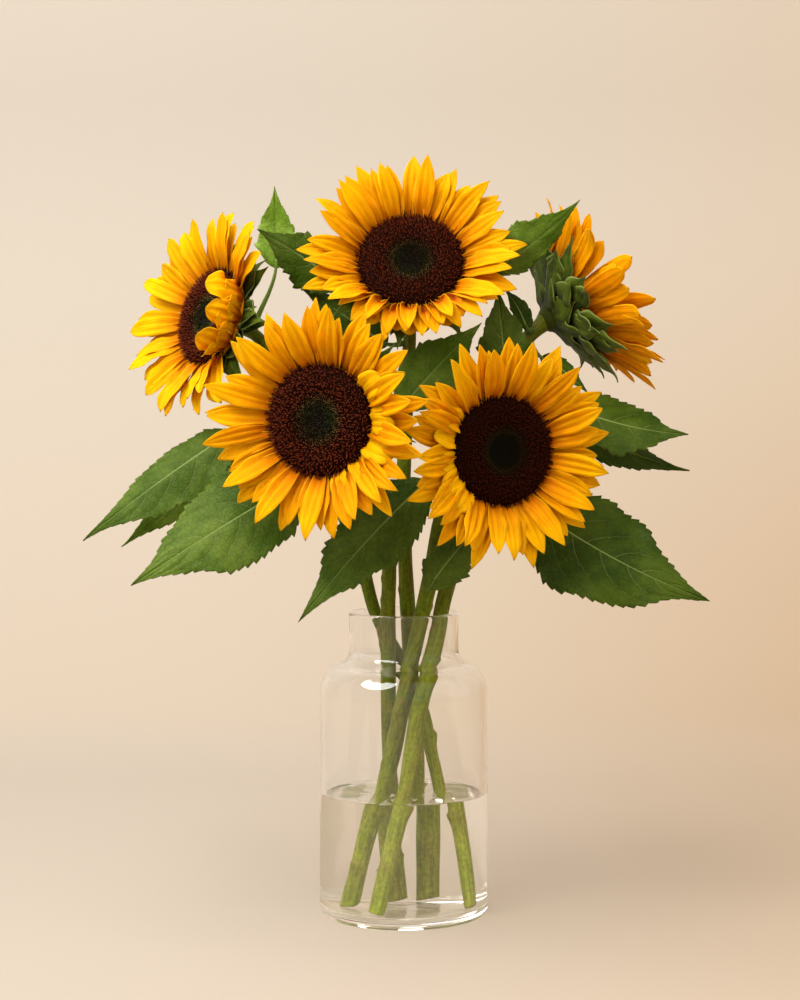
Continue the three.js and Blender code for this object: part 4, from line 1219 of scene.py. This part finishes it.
def make_studio():
    """A pale floor that curves up into a wall, as one sheet."""
    line = [(STUDIO_FRONT, 0), (300, 0)]
    for angle in np.radians(np.linspace(0, 90, 24)):
        line.append((WALL_Y - WALL_BEND + WALL_BEND * math.sin(angle),
                     WALL_BEND - WALL_BEND * math.cos(angle)))
    line.append((WALL_Y, STUDIO_TOP))
    ends = (-STUDIO_HALF_WIDTH, STUDIO_HALF_WIDTH)
    points = np.array([[x, y, z] for y, z in line for x in ends], float) * MM
    mesh = bpy.data.meshes.new("studio")
    cells = [(2 * i, 2 * i + 1, 2 * i + 3, 2 * i + 2) for i in range(len(line) - 1)]
    mesh.from_pydata(points.tolist(), [], cells)
    mesh.polygons.foreach_set("use_smooth", [True] * len(cells))
    mesh.materials.append(studio_material())
    add_object("studio", mesh)


def make_light(name, place, target, size, power, colour, shape="DISK"):
    """An area lamp; its size is in metres and its power in watts."""
    data = bpy.data.lights.new(name, "AREA")
    data.shape = shape
    data.size = size
    data.energy = power
    data.color = colour
    light = add_object(name, data)
    place, target = np.array(place) * MM, np.array(target) * MM
    light.location = place
    light.rotation_mode = "QUATERNION"
    light.rotation_quaternion = Vector(-unit(place - target)).to_track_quat("-Z", "Y")
    return light


def linked(name, pieces, state):
    """A collection that a lamp can be linked to, so that it lights only them or all else."""
    collection = bpy.data.collections.new(name)
    for piece in pieces:
        collection.objects.link(piece)
    for entry in collection.collection_objects:
        entry.light_linking.link_state = state
    return collection


def make_lights(glass, water):
    """The studio's lamps leave out glass and water, and two lamps give those their shine."""
    key = MIDDLE + LAMP_DISTANCE * unit(KEY_DIRECTION)
    glint = MIDDLE + LAMP_DISTANCE * unit(GLINT_DIRECTION)
    all_else = linked("all_else", (glass, water), "EXCLUDE")
    for lamp in (("key", key, MIDDLE, 1.85, 75, KEY_COLOUR),
                 ("left", (-2600, -300, 1300), MIDDLE, 3.2, 20, WARM, "SQUARE"),
                 ("right", (2200, -1500, 1250), MIDDLE, 3.2, 42, SIDE_COLOUR, "SQUARE"),
                 ("wall", (-600, 300, 2300), (200, 1200, 700), 1.6, 30, WARM)):
        make_light(*lamp).light_linking.receiver_collection = all_else
    for lamp, pieces in (
            (("glint", glint, MIDDLE, 1.75, 120, WHITE), (glass, water)),
            (("glint_water", (-200, 1200, 600), (0, 0, 90), 1, 8, WHITE, "SQUARE"), (water,))):
        light = make_light(*lamp)
        light.light_linking.receiver_collection = linked(light.name, pieces, "INCLUDE")
        light.visible_transmission = False
        light.visible_camera = False
    world = bpy.data.worlds.new("world")
    bpy.context.scene.world = world
    world.use_nodes = True
    sky = world.node_tree.nodes["Background"].inputs
    sky["Color"].default_value = WORLD_COLOUR
    sky["Strength"].default_value = WORLD_STRENGTH


make_camera()
make_studio()
make_lights(make_vase(), make_water())
bpy.context.scene.view_settings.view_transform = "Standard"

stem_look, calyx_look = stem_material(), calyx_material()
petal_look, disc_look = petal_material(), disc_material()
for flower in FLOWERS:
    make_stem(flower, stem_look)
    make_bracts(flower, calyx_look)
    make_petals(flower, petal_look)
    make_disc(flower, disc_look)
leaf_look = leaf_material()
for leaf in LEAVES:
    make_leaf(leaf, leaf_look)
